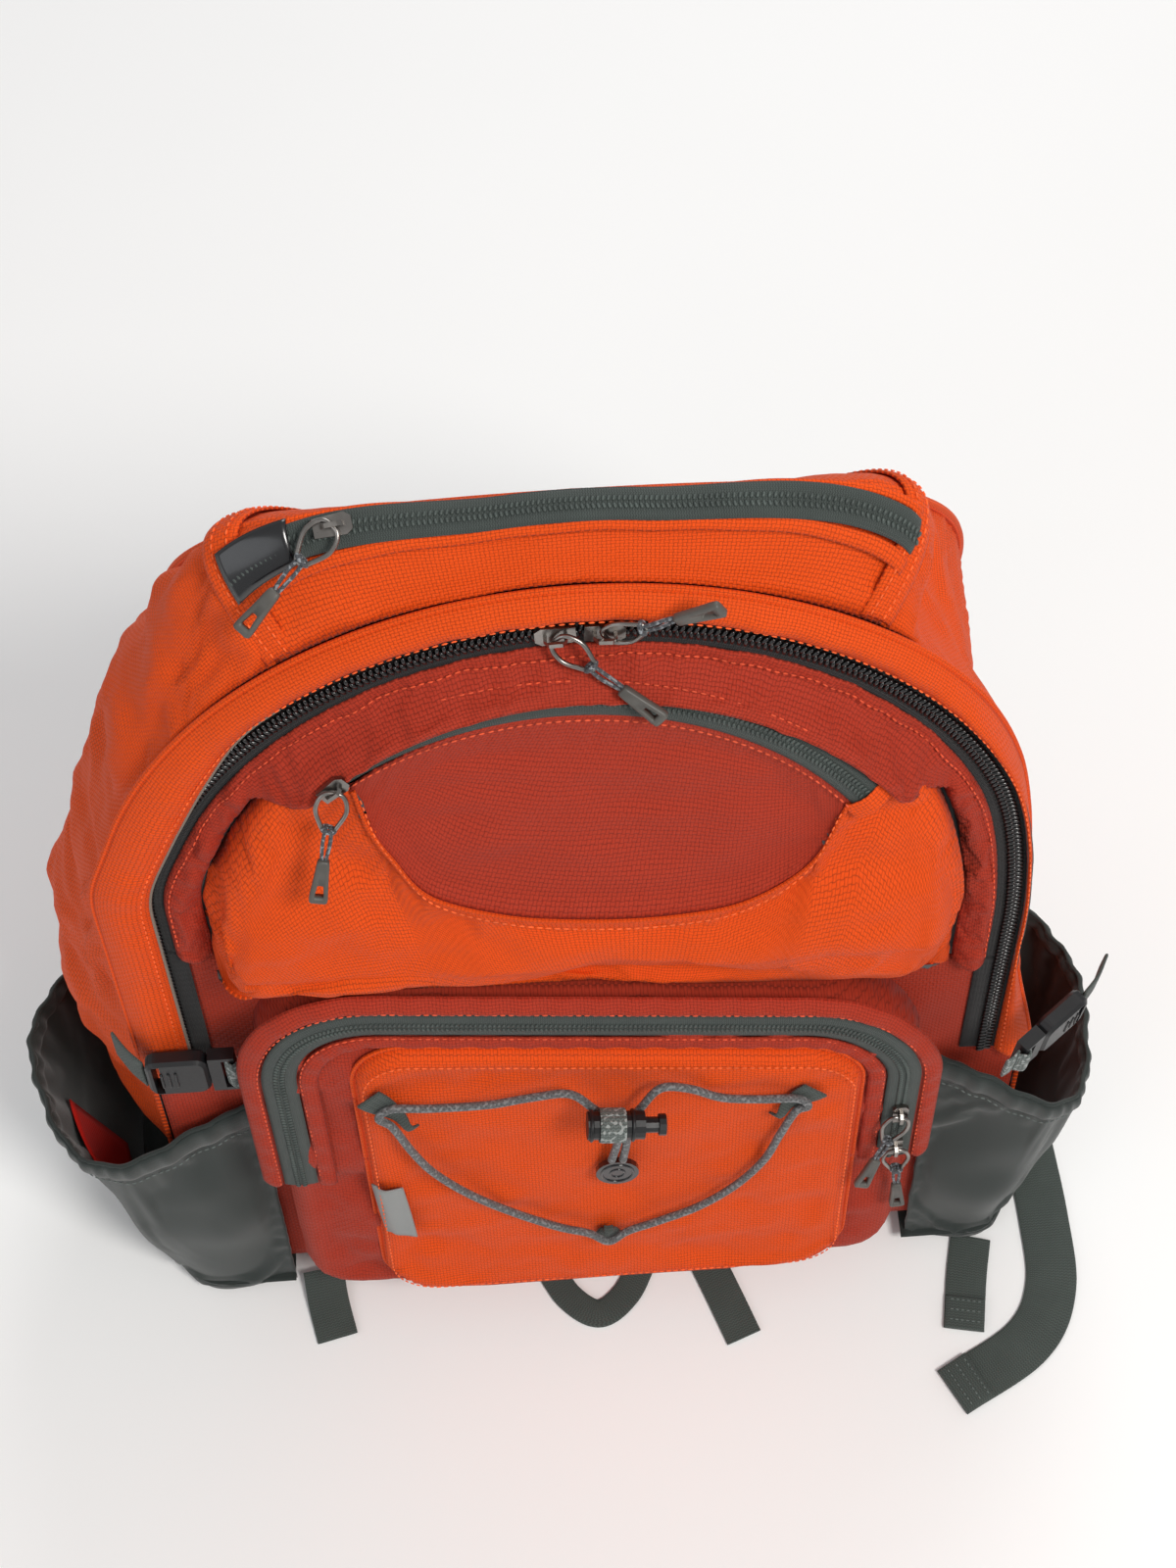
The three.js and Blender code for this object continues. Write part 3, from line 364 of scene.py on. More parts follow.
def braid(name, code, fleck_code, pitch=2.2):
    """Braided cord: crossing strands round the cord, with a fleck in some of them, and painted shade in the gaps
    between the strands.
    """
    shade = Shade(name, 0.62, sheen=0.1)
    where = shade.coords("UV")
    parts = shade.node("ShaderNodeSeparateXYZ")
    shade.put(parts.inputs[0], where)
    along = shade.math("MULTIPLY", parts.outputs["X"], 1000 / pitch)
    turn = shade.math("MULTIPLY", parts.outputs["Y"], 1000 / pitch)
    first = shade.math("SINE", shade.math("MULTIPLY", shade.math("ADD", along, turn), math.pi))
    second = shade.math("SINE", shade.math("MULTIPLY", shade.math("SUBTRACT", along, turn), math.pi))
    height = shade.math("MAXIMUM", shade.math("ABSOLUTE", first), shade.math("ABSOLUTE", second))
    spots = shade.noise(where, 620, 0.0)
    # Painted shade: the gaps between the strands are darkened in the colour.
    tone = shade.mix(shade.ramp(height, 0.3, 1.0), darker(rgb(code), 0.45), rgb(code))
    tone = shade.mix(shade.ramp(spots, 0.56, 0.62), tone, rgb(fleck_code))
    shade.put(shade.bsdf.inputs["Base Color"], tone)
    shade.bump(height, 0.25 * MM, 0.8)
    return shade.mat


ORANGE = fabric("orange_weave", "E04C08", pitch=1.5, relief=0.3, fleck=0.24)
RUST = fabric("rust_weave", "A8331E", pitch=1.5, relief=0.3, fleck=0.24)
DARK = fabric("pocket_cloth", "2C3331", pitch=0.7, rough=0.6, sheen=0.2, relief=0.07, fleck=0.08)
LINING = fabric("lining", "55595A", pitch=0.6, rough=0.7, relief=0.05, fleck=0.08)
BACK_MESH = fabric("spacer_mesh", "1C1F20", pitch=2.6, rough=0.9, relief=0.7, fleck=0.2, coords="Object")
PAD_CLOTH = fabric("pad_cloth", "2B302F", pitch=0.9, rough=0.85, relief=0.12, coords="Object")
WEBBING = woven_tape("webbing", "434B47")
PATTERN = woven_tape("patterned_webbing", "5E6663", fleck_code="A6ABA9", fleck=0.8)
TAPE_GREY = woven_tape("grey_zip_tape", "3D4542", pitch=0.9)
TAPE_BLACK = woven_tape("black_zip_tape", "141516", pitch=0.9)
COIL_GREY = moulded("grey_coil", "3C4441", 0.5)
COIL_BLACK = moulded("black_coil", "0C0C0D", 0.28, coat=0.3, grain=300)
PLASTIC = moulded("black_moulding", "121315", 0.42)
GLOSS = moulded("gloss_moulding", "0E0F12", 0.22, coat=0.6, grain=300, depth=0.02)
GRIP = moulded("grip_moulding", "4A4844", 0.45)
SHEET_PLASTIC = moulded("sheet_plastic", "3A3D3E", 0.5)
GUNMETAL = plated("gunmetal", "8A8682", 0.26)
CORD_GREY = braid("bungee_braid", "5E5F60", "7C7E7F")
PULL_CORD = braid("pull_cord", "4A4D52", "8E9398", pitch=1.2)
ORANGE_THREAD = moulded("orange_thread", "E05C20", 0.6, grain=900)
RUST_THREAD = moulded("rust_thread", "CC4A26", 0.6, grain=900)
DARK_THREAD = moulded("dark_thread", "5C6461", 0.65, grain=900)
BINDING = fabric("pale_binding", "857B70", pitch=0.8)
REFLECTIVE = fabric("reflective_tab", "8E9190", pitch=0.5, rough=0.35, sheen=0.0, relief=0.04, fleck=0.05)
PATCH_RED = fabric("red_lining_patch", "C41E14", pitch=0.8)

# ---------------------------------------------------------------- building pieces


def finish_piece(ob, material, body, slot, *nodes):
    if not ob.data.materials:
        ob.data.materials.append(material)
    if isinstance(body, tuple):
        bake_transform(ob)
    else:
        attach(ob, body)
    if nodes:
        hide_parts(*nodes)
    return ob


def mesh_object(name, points, faces, uv=None, facing=PACK_CENTRE):
    """A mesh from points in pack millimetres, its faces turned away from a centre if given."""
    points = np.asarray(points, float).reshape(-1, 3)
    if facing is not None and len(faces):
        first = np.array([f[:3] for f in faces])
        a, b, c = points[first[:, 0]], points[first[:, 1]], points[first[:, 2]]
        area = np.cross(b - a, c - a)
        if (area * ((a + b + c) / 3 - facing)).sum() < 0:
            faces = [tuple(reversed(f)) for f in faces]
    mesh = bpy.data.meshes.new(name)
    mesh.from_pydata(world(points).tolist(), [], faces)
    if uv is not None:
        layer = mesh.uv_layers.new(name="UVMap")
        corners = np.empty(len(mesh.loops), int)
        mesh.loops.foreach_get("vertex_index", corners)
        layer.data.foreach_set("uv", np.asarray(uv, float).reshape(-1, 2)[corners].ravel())
    mesh.polygons.foreach_set("use_smooth", [True] * len(mesh.polygons))
    mesh.update()
    ob = bpy.data.objects.new(name, mesh)
    bpy.context.scene.collection.objects.link(ob)
    return ob


def grid_faces(rows, columns, wrap=False):
    last = columns if wrap else columns - 1
    return [
        (i * columns + j, (i + 1) * columns + j, (i + 1) * columns + (j + 1) % columns, i * columns + (j + 1) % columns)
        for i in range(rows - 1) for j in range(last)
    ]


def grid_uv(points):
    """Distances along the rows and columns, in metres."""
    along = np.linalg.norm(np.diff(points, axis=0), axis=-1).mean(1)
    across = np.linalg.norm(np.diff(points, axis=1), axis=-1).mean(0)
    u = np.concatenate([[0], np.cumsum(along)]) * MM
    v = np.concatenate([[0], np.cumsum(across)]) * MM
    return np.stack(np.meshgrid(u, v, indexing="ij"), -1)


def rumple(points, amount, size, seed, stretch=(1, 1, 1)):
    """Displacements by smooth noise, one for each point: amount and size in millimetres."""
    flat = points.reshape(-1, 3) / (size * np.asarray(stretch, float))
    shift = Vector((seed * 7.1, seed * 3.3, seed * 5.7))
    values = [noise.fractal(Vector(p) + shift, 1.0, 2.0, 2) for p in flat]
    return 1.5 * amount * np.array(values).reshape(points.shape[:-1])


def grid_normals(points, centre=PACK_CENTRE):
    along = np.gradient(points, axis=0)
    across = np.gradient(points, axis=1)
    normal = np.cross(along, across)
    normal /= np.maximum(np.linalg.norm(normal, axis=-1, keepdims=True), 1e-9)
    if centre is not None and (normal * (points - centre)).sum() < 0:
        normal = -normal
    return normal


def thicken(ob, thickness, lining=None, offset=-1.0):
    made = ob.modifiers.new("thickness", "SOLIDIFY")
    made.thickness = thickness * MM
    made.offset = offset
    if lining:
        ob.data.materials.append(lining)
        made.material_offset = 1
    return ob


def simulate(ob, pinned, pressure=0.0, spare=0.02, cap=6.0, frames=16, bending=0.4, volume=False):
    """Cloth held at the pinned vertices, with spare fabric, then kept as the mesh's own shape."""
    scene = bpy.context.scene
    group = ob.vertex_groups.new(name="held")
    group.add([int(i) for i in pinned], 1.0, "REPLACE")
    cloth = ob.modifiers.new("cloth", "CLOTH")
    settings = cloth.settings
    settings.vertex_group_mass = "held"
    settings.quality = 5
    settings.mass = 0.25
    settings.tension_stiffness = 25
    settings.compression_stiffness = 25
    settings.shear_stiffness = 8
    settings.bending_stiffness = bending
    settings.shrink_min = -spare
    settings.use_pressure = pressure != 0
    settings.uniform_pressure_force = pressure
    settings.effector_weights.gravity = 0.0 if volume else 0.25
    cloth.collision_settings.use_collision = False
    cloth.point_cache.frame_start = 1
    cloth.point_cache.frame_end = frames
    start = np.empty(len(ob.data.vertices) * 3)
    ob.data.vertices.foreach_get("co", start)
    for number in range(1, frames + 1):
        scene.frame_set(number)
    shape = ob.evaluated_get(bpy.context.evaluated_depsgraph_get()).data
    end = np.empty(len(start))
    shape.vertices.foreach_get("co", end)
    moved = (end - start).reshape(-1, 3)
    length = np.maximum(np.linalg.norm(moved, axis=1, keepdims=True), 1e-9)
    moved *= np.minimum(length, cap * MM) / length
    ob.modifiers.remove(cloth)
    ob.vertex_groups.remove(group)
    ob.data.vertices.foreach_set("co", start + moved.ravel())
    ob.data.update()
    scene.frame_set(1)


def border(rows, columns):
    index = np.arange(rows * columns).reshape(rows, columns)
    return np.unique(np.concatenate([index[0], index[-1], index[:, 0], index[:, -1]]))


def sheet_grid(name, points, material, body, slot, nodes=(), thickness=2.0, lining=LINING, facing=PACK_CENTRE,
               sim=None, refine=0):
    rows, columns = points.shape[:2]
    ob = mesh_object(name, points, grid_faces(rows, columns), grid_uv(points), facing)
    if sim:
        simulate(ob, border(rows, columns), **sim)
    ob.data.materials.append(material)
    if refine:
        ob.modifiers.new("fine", "SUBSURF").levels = refine
        ob.modifiers["fine"].render_levels = refine
    if thickness:
        thicken(ob, thickness, lining)
    return finish_piece(ob, material, body, slot, *nodes)


def polygon_distance(points, outline):
    """Distance to an outline, positive inside, and the nearest point on it."""
    a = outline
    b = np.roll(outline, -1, axis=0)
    ab = b - a
    ap = points[:, None] - a[None]
    t = np.clip((ap * ab).sum(-1) / np.maximum((ab * ab).sum(-1), 1e-9), 0, 1)
    near = a + t[..., None] * ab
    distance = np.linalg.norm(points[:, None] - near, axis=-1)
    best = distance.argmin(1)
    pick = np.arange(len(points))
    x, y = points[:, 0:1], points[:, 1:2]
    crosses = ((a[:, 1] > y) != (b[:, 1] > y)) & (
        x < (b[:, 0] - a[:, 0]) * (y - a[:, 1]) / np.where(b[:, 1] == a[:, 1], 1e-9, b[:, 1] - a[:, 1]) + a[:, 0])
    inside = crosses.sum(1) % 2 == 1
    return np.where(inside, 1, -1) * distance[pick, best], near[pick, best]


def patch(name, outline, step, place, material, body, slot, nodes=(), thickness=2.0, lining=LINING,
          facing=PACK_CENTRE, sim=None):
    """A piece cut to an outline in two coordinates and put in space by place(a, b, inside)."""
    outline = np.asarray(outline, float)
    low, high = outline.min(0), outline.max(0)
    count = np.maximum(np.round((high - low) / step).astype(int), 2) + 1
    a, b = (np.linspace(low[i], high[i], count[i]) for i in (0, 1))
    flat = np.stack(np.meshgrid(a, b, indexing="ij"), -1).reshape(-1, 2)
    distance, near = polygon_distance(flat, outline)
    faces = [f for f in grid_faces(count[0], count[1]) if min(distance[list(f)]) > -0.35 * step]
    used = np.zeros(len(flat), bool)
    edges = {}
    for f in faces:
        for i, j in zip(f, f[1:] + f[:1]):
            used[i] = True
            key = (min(i, j), max(i, j))
            edges[key] = edges.get(key, 0) + 1
    rim = np.unique([i for key, n in edges.items() if n == 1 for i in key])
    flat[rim] = near[rim]
    distance[rim] = 0
    renumber = np.cumsum(used) - 1
    faces = [tuple(int(renumber[i]) for i in f) for f in faces]
    flat, distance = flat[used], np.maximum(distance[used], 0)
    points = place(flat[:, 0], flat[:, 1], distance)
    ob = mesh_object(name, points, faces, flat * MM, facing)
    if sim:
        simulate(ob, renumber[rim], **sim)
    ob.data.materials.append(material)
    if thickness:
        thicken(ob, thickness, lining)
    return finish_piece(ob, material, body, slot, *nodes)


def resample(points, pitch, closed=False):
    """Evenly spaced points along a line, and its direction at each."""
    points = np.asarray(points, float)
    lengths = np.concatenate([[0], np.cumsum(np.linalg.norm(np.diff(points, axis=0), axis=1))])
    count = max(int(lengths[-1] / pitch), 2)
    at = (np.arange(count) + 0.5) * lengths[-1] / count
    place = np.stack([np.interp(at, lengths, points[:, k]) for k in range(points.shape[1])], 1)
    ahead = np.stack([np.interp(at + 0.4, lengths, points[:, k]) for k in range(points.shape[1])], 1)
    behind = np.stack([np.interp(at - 0.4, lengths, points[:, k]) for k in range(points.shape[1])], 1)
    direction = ahead - behind
    direction /= np.maximum(np.linalg.norm(direction, axis=1, keepdims=True), 1e-9)
    return place, direction


def spline(points, count):
    """A smooth line through points, by Catmull-Rom."""
    points = np.asarray(points, float)
    padded = np.concatenate([[2 * points[0] - points[1]], points, [2 * points[-1] - points[-2]]])
    t = np.linspace(0, len(points) - 1 - 1e-9, count)
    i = t.astype(int)
    f = (t - i)[:, None]
    p0, p1, p2, p3 = padded[i], padded[i + 1], padded[i + 2], padded[i + 3]
    return 0.5 * (2 * p1 + (p2 - p0) * f + (2 * p0 - 5 * p1 + 4 * p2 - p3) * f ** 2 + (3 * p1 - p0 - 3 * p2 + p3) * f ** 3)


def unit(vectors):
    vectors = np.asarray(vectors, float)
    return vectors / np.maximum(np.linalg.norm(vectors, axis=-1, keepdims=True), 1e-9)


_SEGMENTS, _RINGS = 6, 3
_ball = [(0, 0, 1)]
for _ring in range(1, _RINGS + 1):
    for _k in range(_SEGMENTS):
        _polar, _turn = math.pi * _ring / (_RINGS + 1), 2 * math.pi * _k / _SEGMENTS
        _ball.append((math.sin(_polar) * math.cos(_turn), math.sin(_polar) * math.sin(_turn), math.cos(_polar)))
_ball.append((0, 0, -1))
BALL = np.array(_ball)
BALL_FACES = [(0, 1 + k, 1 + (k + 1) % _SEGMENTS) for k in range(_SEGMENTS)]
BALL_FACES += [
    (1 + r * _SEGMENTS + k, 1 + (r + 1) * _SEGMENTS + k, 1 + (r + 1) * _SEGMENTS + (k + 1) % _SEGMENTS,
     1 + r * _SEGMENTS + (k + 1) % _SEGMENTS)
    for r in range(_RINGS - 1) for k in range(_SEGMENTS)
]
BALL_FACES += [
    (len(BALL) - 1, 1 + (_RINGS - 1) * _SEGMENTS + (k + 1) % _SEGMENTS, 1 + (_RINGS - 1) * _SEGMENTS + k)
    for k in range(_SEGMENTS)
]


def beads(name, places, long_way, out, size, material, body, slot):
    """Many small rounded bars: at each place, size is along long_way, across it, and out."""
    long_way, out = unit(np.broadcast_to(long_way, places.shape)), np.broadcast_to(out, places.shape)
    side = unit(np.cross(out, long_way))
    out = np.cross(long_way, side)
    shape = np.sign(BALL) * np.abs(BALL) ** 0.8 * np.asarray(size, float) / 2
    points = (places[:, None] + shape[None, :, 0:1] * long_way[:, None]
              + shape[None, :, 1:2] * side[:, None] + shape[None, :, 2:3] * out[:, None])
    faces = [tuple(i + k * len(BALL) for i in f) for k in range(len(places)) for f in BALL_FACES]
    ob = mesh_object(name, points, faces, facing=None)
    return finish_piece(ob, material, body, slot)


def stitches(name, line, out, material, body, slot, pitch=3.4, length=2.5, width=0.75):
    """A row of sewn thread along a line given by close points."""
    places, along = resample(line, pitch)
    if np.ndim(out) == 2:
        share = np.linspace(0, 1, len(out))
        out = np.stack([np.interp(np.linspace(0, 1, len(places)), share, out[:, k]) for k in range(3)], 1)
    return beads(name, places, along, out, (length, width, 0.6), material, body, slot)


def ribbon(name, line, across, width, material, body, slot, nodes=(), thickness=1.7, steps=40, columns=7):
    """Flat webbing along a line, its width along across."""
    line = spline(line, steps)
    across = np.asarray(across, float)
    if across.ndim == 1:
        across = np.broadcast_to(across, line.shape)
    elif len(across) != steps:
        across = spline(across, steps)
    across = unit(across)
    along = unit(np.gradient(line, axis=0))
    out = unit(np.cross(along, across))
    turn = np.linspace(0, 2 * math.pi, 20, endpoint=False)
    wide = np.sign(np.cos(turn)) * np.abs(np.cos(turn)) ** 0.35 * width / 2
    thin = np.sign(np.sin(turn)) * np.abs(np.sin(turn)) ** 0.8 * thickness / 2
    points = line[:, None] + wide[None, :, None] * across[:, None] + thin[None, :, None] * out[:, None]
    faces = grid_faces(steps, len(turn), wrap=True)
    faces += [tuple(range(len(turn))), tuple(reversed(range((steps - 1) * len(turn), steps * len(turn))))]
    length = np.concatenate([[0], np.cumsum(np.linalg.norm(np.diff(line, axis=0), axis=1))])
    uv = np.stack(np.broadcast_arrays(length[:, None], wide[None] + width / 2), -1) * MM
    ob = mesh_object(name, points, faces, uv, facing=None)
    return finish_piece(ob, material, body, slot, *nodes)


def rod(name, line, diameter, material, body, slot, nodes=(), steps=None, closed=False, sides=10):
    """A round cord or wire along a line."""
    line = np.asarray(line, float)
    if steps:
        line = spline(line, steps)
    steps = len(line)
    if closed:
        along = unit(np.roll(line, -1, axis=0) - np.roll(line, 1, axis=0))
    else:
        along = unit(np.gradient(line, axis=0))
    side = np.empty_like(line)
    guess = np.cross(along[0], [0.31, 0.2, 0.93])
    for k in range(steps):
        guess = guess - along[k] * (guess @ along[k])
        guess /= np.linalg.norm(guess)
        side[k] = guess
    other = np.cross(along, side)
    turn = np.linspace(0, 2 * math.pi, sides, endpoint=False)
    points = line[:, None] + diameter / 2 * (
        np.cos(turn)[None, :, None] * side[:, None] + np.sin(turn)[None, :, None] * other[:, None])
    faces = grid_faces(steps, sides, wrap=True)
    if closed:
        start = (steps - 1) * sides
        faces += [(start + j, j, (j + 1) % sides, start + (j + 1) % sides) for j in range(sides)]
    else:
        faces += [tuple(range(sides)), tuple(reversed(range((steps - 1) * sides, steps * sides)))]
    length = np.concatenate([[0], np.cumsum(np.linalg.norm(np.diff(line, axis=0), axis=1))])
    uv = np.stack(np.broadcast_arrays(length[:, None], diameter * turn[None] / 2), -1) * MM
    ob = mesh_object(name, points, faces, uv, facing=line.mean(0) if not closed else None)
    return finish_piece(ob, material, body, slot, *nodes)

# ---------------------------------------------------------------- camera, light and floor


def make_camera():
    yaw, pitch, roll = math.radians(3.566), math.radians(62.639), math.radians(-0.575)
    ahead = Vector((math.sin(yaw) * math.cos(pitch), math.cos(yaw) * math.cos(pitch), -math.sin(pitch)))
    right = Vector((math.cos(yaw), -math.sin(yaw), 0))
    above = right.cross(ahead)
    turned = right * math.cos(roll) + above * math.sin(roll)
    above = above * math.cos(roll) - right * math.sin(roll)
    data = bpy.data.cameras.new("camera")
    data.lens = 54.05
    data.clip_start, data.clip_end = 0.02, 30
    camera = bpy.data.objects.new("camera", data)
    bpy.context.scene.collection.objects.link(camera)
    turn = Matrix((turned, above, -ahead)).transposed().to_4x4()
    camera.matrix_world = Matrix.Translation(Vector(world((-23.8, -530.0, 1152.6)))) @ turn
    bpy.context.scene.camera = camera


def make_light(name, place, target, size, power, colour=(1, 1, 1)):
    data = bpy.data.lights.new(name, "AREA")
    data.shape, data.size, data.energy, data.color = "DISK", size, power, colour
    lamp = bpy.data.objects.new(name, data)
    bpy.context.scene.collection.objects.link(lamp)
    place = Vector(place)
    lamp.matrix_world = (
        Matrix.Translation(place) @ (Vector(target) - place).to_track_quat("-Z", "Y").to_matrix().to_4x4())


def make_stage():
    size = 6.0
    mesh = bpy.data.meshes.new("floor")
    corners = [(-size, -size, -0.0005), (size, -size, -0.0005), (size, size, -0.0005), (-size, size, -0.0005)]
    mesh.from_pydata(corners, [], [(0, 1, 2, 3)])
    floor = bpy.data.objects.new("floor", mesh)
    bpy.context.scene.collection.objects.link(floor)
    shade = Shade("floor_paper", 0.9)
    cloudy = shade.noise(shade.coords("Object"), 3, 2.0)
    shade.put(shade.bsdf.inputs["Base Color"], shade.mix(cloudy, (0.95, 0.95, 0.95, 1), (0.98, 0.98, 0.98, 1)))
    mesh.materials.append(shade.mat)
    sky = bpy.data.worlds.new("studio")
    sky.use_nodes = True
    sky.node_tree.nodes["Background"].inputs[0].default_value = (1, 1, 1, 1)
    sky.node_tree.nodes["Background"].inputs[1].default_value = 0.42
    bpy.context.scene.world = sky
    target = (0, -0.02, 0.3)
    make_light("key", (0.75, -0.9, 1.9), target, 0.6, 25, (1, 0.97, 0.93))
    make_light("fill", (-1.5, -1.1, 1.2), target, 1.4, 5, (0.93, 0.96, 1))
    make_light("rim", (0.4, 1.4, 1.5), target, 1.0, 10)
    bpy.context.scene.view_settings.view_transform = "Standard"


make_camera()
make_stage()

# ---------------------------------------------------------------- body panels


def wall_panel(name, start, end, rows, columns, seed, amount, sim):
    s, t = np.meshgrid(np.linspace(start, end, rows), np.linspace(0, 1, columns), indexing="ij")
    points = on_wall(s, t, 0)
    edge = np.clip(np.minimum(t, 1 - t) * 6, 0, 1)
    folds = rumple(points, amount, 46, seed, (1, 1.6, 0.6)) + rumple(points, amount * 0.35, 17, seed + 1)
    points = points + grid_normals(points) * (folds * edge - 0.4)[..., None]
    return sheet_grid(f"{name}_cloth", points, ORANGE, "pack_body", "orange_nylon", (name,), 2.2, sim=sim)


def make_walls():
    puff = dict(pressure=1.2, spare=0.02, cap=6, frames=14)
    wall_panel("side_panel_left", -ARCH_LENGTH, -TOP_SEAM, 110, 52, 3, 3.8, puff)
    wall_panel("side_panel_right", TOP_SEAM, ARCH_LENGTH, 110, 52, 8, 3.2, puff)
    wall_panel("top_panel", -TOP_SEAM + 0.2, TOP_SEAM - 0.2, 60, 34, 5, 1.1,
               dict(pressure=0.4, spare=0.012, cap=2, frames=10))

    t = np.linspace(0.005, 0.995, 60)
    across = np.linspace(-9, 3, 9)
    for side, name in ((-1, "left"), (1, "right")):
        s = side * (TOP_SEAM + across)
        grid_s, grid_t = np.meshgrid(s, t, indexing="ij")
        rise = 1.5 * np.sin(np.linspace(0, math.pi, 9)) ** 0.5
        points = on_wall(grid_s, grid_t, 0.2 + rise[:, None])
        sheet_grid(f"top_seam_{name}", points, ORANGE, "pack_body", "orange_nylon", thickness=0.8, lining=None)
        for number, along in enumerate((-6.2, -1.2)):
            line = on_wall(side * (TOP_SEAM + along), t, 1.9)
            out = unit(np.stack([np.full(60, side * 0.5), 0 * t, 0 * t + 1], -1))
            stitches(f"top_seam_stitch_{name}_{number}", line, out, ORANGE_THREAD, "pack_body", "orange_nylon")

    for side, name in ((-1, "left"), (1, "right")):
        s = np.linspace(0, BACK_LENGTH, 220) * side * ARCH_LENGTH / BACK_LENGTH
        rod(f"back_piping_{name}", on_wall(s, 1, 0) + [0, -1.0, 0], 4.2, ORANGE, "pack_body", "orange_nylon", sides=8)


def make_bottom():
    t = np.linspace(0, 2 * math.pi, 160, endpoint=False)
    wide = np.where(np.sin(t) > 0, 1.0, 1.0)
    x = 189 * np.sign(np.cos(t)) * np.abs(np.cos(t)) ** 0.5 * wide
    y = -98 + 96 * np.sign(np.sin(t)) * np.abs(np.sin(t)) ** 0.45
    x = x * (1 - 0.16 * smooth(y, -90, 0))
    rows = [(0.0, 0), (0.5, 0), (0.93, 0), (0.97, 1.2), (0.99, 5), (1.0, 11), (0.99, 17), (0.97, 20.6), (0.93, 21.6)]
    rows += [(0.5, 21.6), (0.0, 21.6)]
    points = np.stack([
        np.stack([x * k, -98 + (y + 98) * k, np.full_like(x, z, dtype=float)], -1) for k, z in rows])
    folds = rumple(points, 2.2, 26, 4, (1, 1, 2.5))
    side = smooth(points[..., 2], 1, 6) * (1 - smooth(points[..., 2], 17, 21))
    out = unit(points - np.array([0, -98, 0]) - np.stack([0 * folds, 0 * folds, points[..., 2]], -1))
    points = points + out * (folds * side)[..., None]
    length = np.linspace(0, 1.0, 160)
    depth = np.array([0, 0.09, 0.17, 0.18, 0.19, 0.2, 0.21, 0.22, 0.23, 0.3, 0.4])
    uv = np.stack(np.broadcast_arrays(length[None], depth[:, None]), -1)
    ob = mesh_object("bottom_panel_cloth", points, grid_faces(len(rows), 160, wrap=True), uv, np.array([0, -98, 11.0]))
    ob.modifiers.new("join", "WELD").merge_threshold = 0.0004
    finish_piece(ob, RUST, "pack_body", "rust_nylon", "bottom_panel")


def make_front_wall():
    half, inner = ARCH_RADIUS + BAND_WIDTH - 3.4, ARCH_RADIUS - TAPE_IN - GAP
    outline = [(-half, FRONT_BOTTOM), (half, FRONT_BOTTOM), (half, ZIP_END), (inner, ZIP_END), (inner, FOLD - 0.4),
               (-inner, FOLD - 0.4), (-inner, ZIP_END), (-half, ZIP_END)]

    def place(u, v, inside):
        points = on_front(u, v, 0)
        folds = rumple(points, 3.0, 30, 12, (1, 1, 1.6)) + 1.5
        clear = 1 - smooth(np.abs(u), 134, 148) * (1 - smooth(v, -95, -70))
        return on_front(u, v, folds * smooth(inside, 0, 14) * clear - 0.2)

    patch("front_lower_cloth", outline, 6, place, RUST, "pack_body", "rust_nylon", ("front_lower_panel",), 2.0)


def band_cover(s):
    """The band lies over the zip on its left side, below the rounded corner."""
    return 6.5 * smooth(-s, 118, 190)


def make_band():
    end = leg_length(ZIP_END)
    s, b = np.meshgrid(np.linspace(-end, end, 260), np.linspace(0, 1, 12), indexing="ij")
    inner = TAPE_OUT + GAP - band_cover(s)
    u, v, _ = arch_point(s, inner + (BAND_WIDTH + 0.2 - 12 * turn_at(s) - inner) * b)
    lift = 2.3 * smooth(band_cover(s), 0.2, 4) * (1 - b) ** 2
    rise = 5 * np.sin(math.pi * b) + 1.9 + lift + 0.35 * np.sin(s / 3.1) * (1 - b) * smooth(b, 0, 0.2)
    rise = rise - 14 * turn_at(s) * b * b
    points = on_front(u, v, rise)
    rough = rumple(points, 0.9, 24, 2) * np.sin(math.pi * b)
    points = points + rough[..., None] * [0, -COS, SIN]
    sheet_grid("arch_band_cloth", points, ORANGE, "pack_body", "orange_nylon", ("arch_band",), 1.8)

    line_s = np.linspace(-end + 3, end - 3, 400)
    wall_out = np.array([0, -COS, SIN])
    cover = band_cover(line_s)
    for number, step in enumerate((2.6, 12.8)):
        share = step / (BAND_WIDTH - TAPE_OUT)
        u, v, _ = arch_point(line_s, TAPE_OUT - cover + step * (1 - 0.5 * turn_at(line_s)) + cover * share)
        rise = 5 * np.sin(math.pi * share) + 2.3 + 2.0 * smooth(cover, 0.2, 4) * (1 - share) ** 2
        if number == 0:
            stitches("band_inner_stitch", on_front(u, v, rise), wall_out, ORANGE_THREAD, "pack_body", "orange_nylon")
    left = np.linspace(-end + 1, -112, 180)
    u, v, _ = arch_point(left, TAPE_OUT + 0.3 - band_cover(left))
    rod("band_binding_left", on_front(u, v, 1.5 + 2.2 * smooth(band_cover(left), 0.2, 4)), 1.5, BINDING, "pack_body",
        "orange_nylon", sides=8)
    outer = np.linspace(-end + 1, end - 1, 420)
    u, v, _ = arch_point(outer, BAND_WIDTH + 0.2 - 12 * turn_at(outer))
    rod("band_outer_piping", on_front(u, v, 1.0 - 14 * turn_at(outer)), 2.6, ORANGE, "pack_body", "orange_nylon", sides=8)


# ---------------------------------------------------------------- zips


def tape(name, line_in, line_out, material, body, slot, nodes=(), thickness=1.0):
    rows = len(line_in)
    share = np.linspace(0, 1, 4)[None, :, None]
    points = line_in[:, None] * (1 - share) + line_out[:, None] * share
    return sheet_grid(name, points, material, body, slot, nodes, thickness, lining=None)


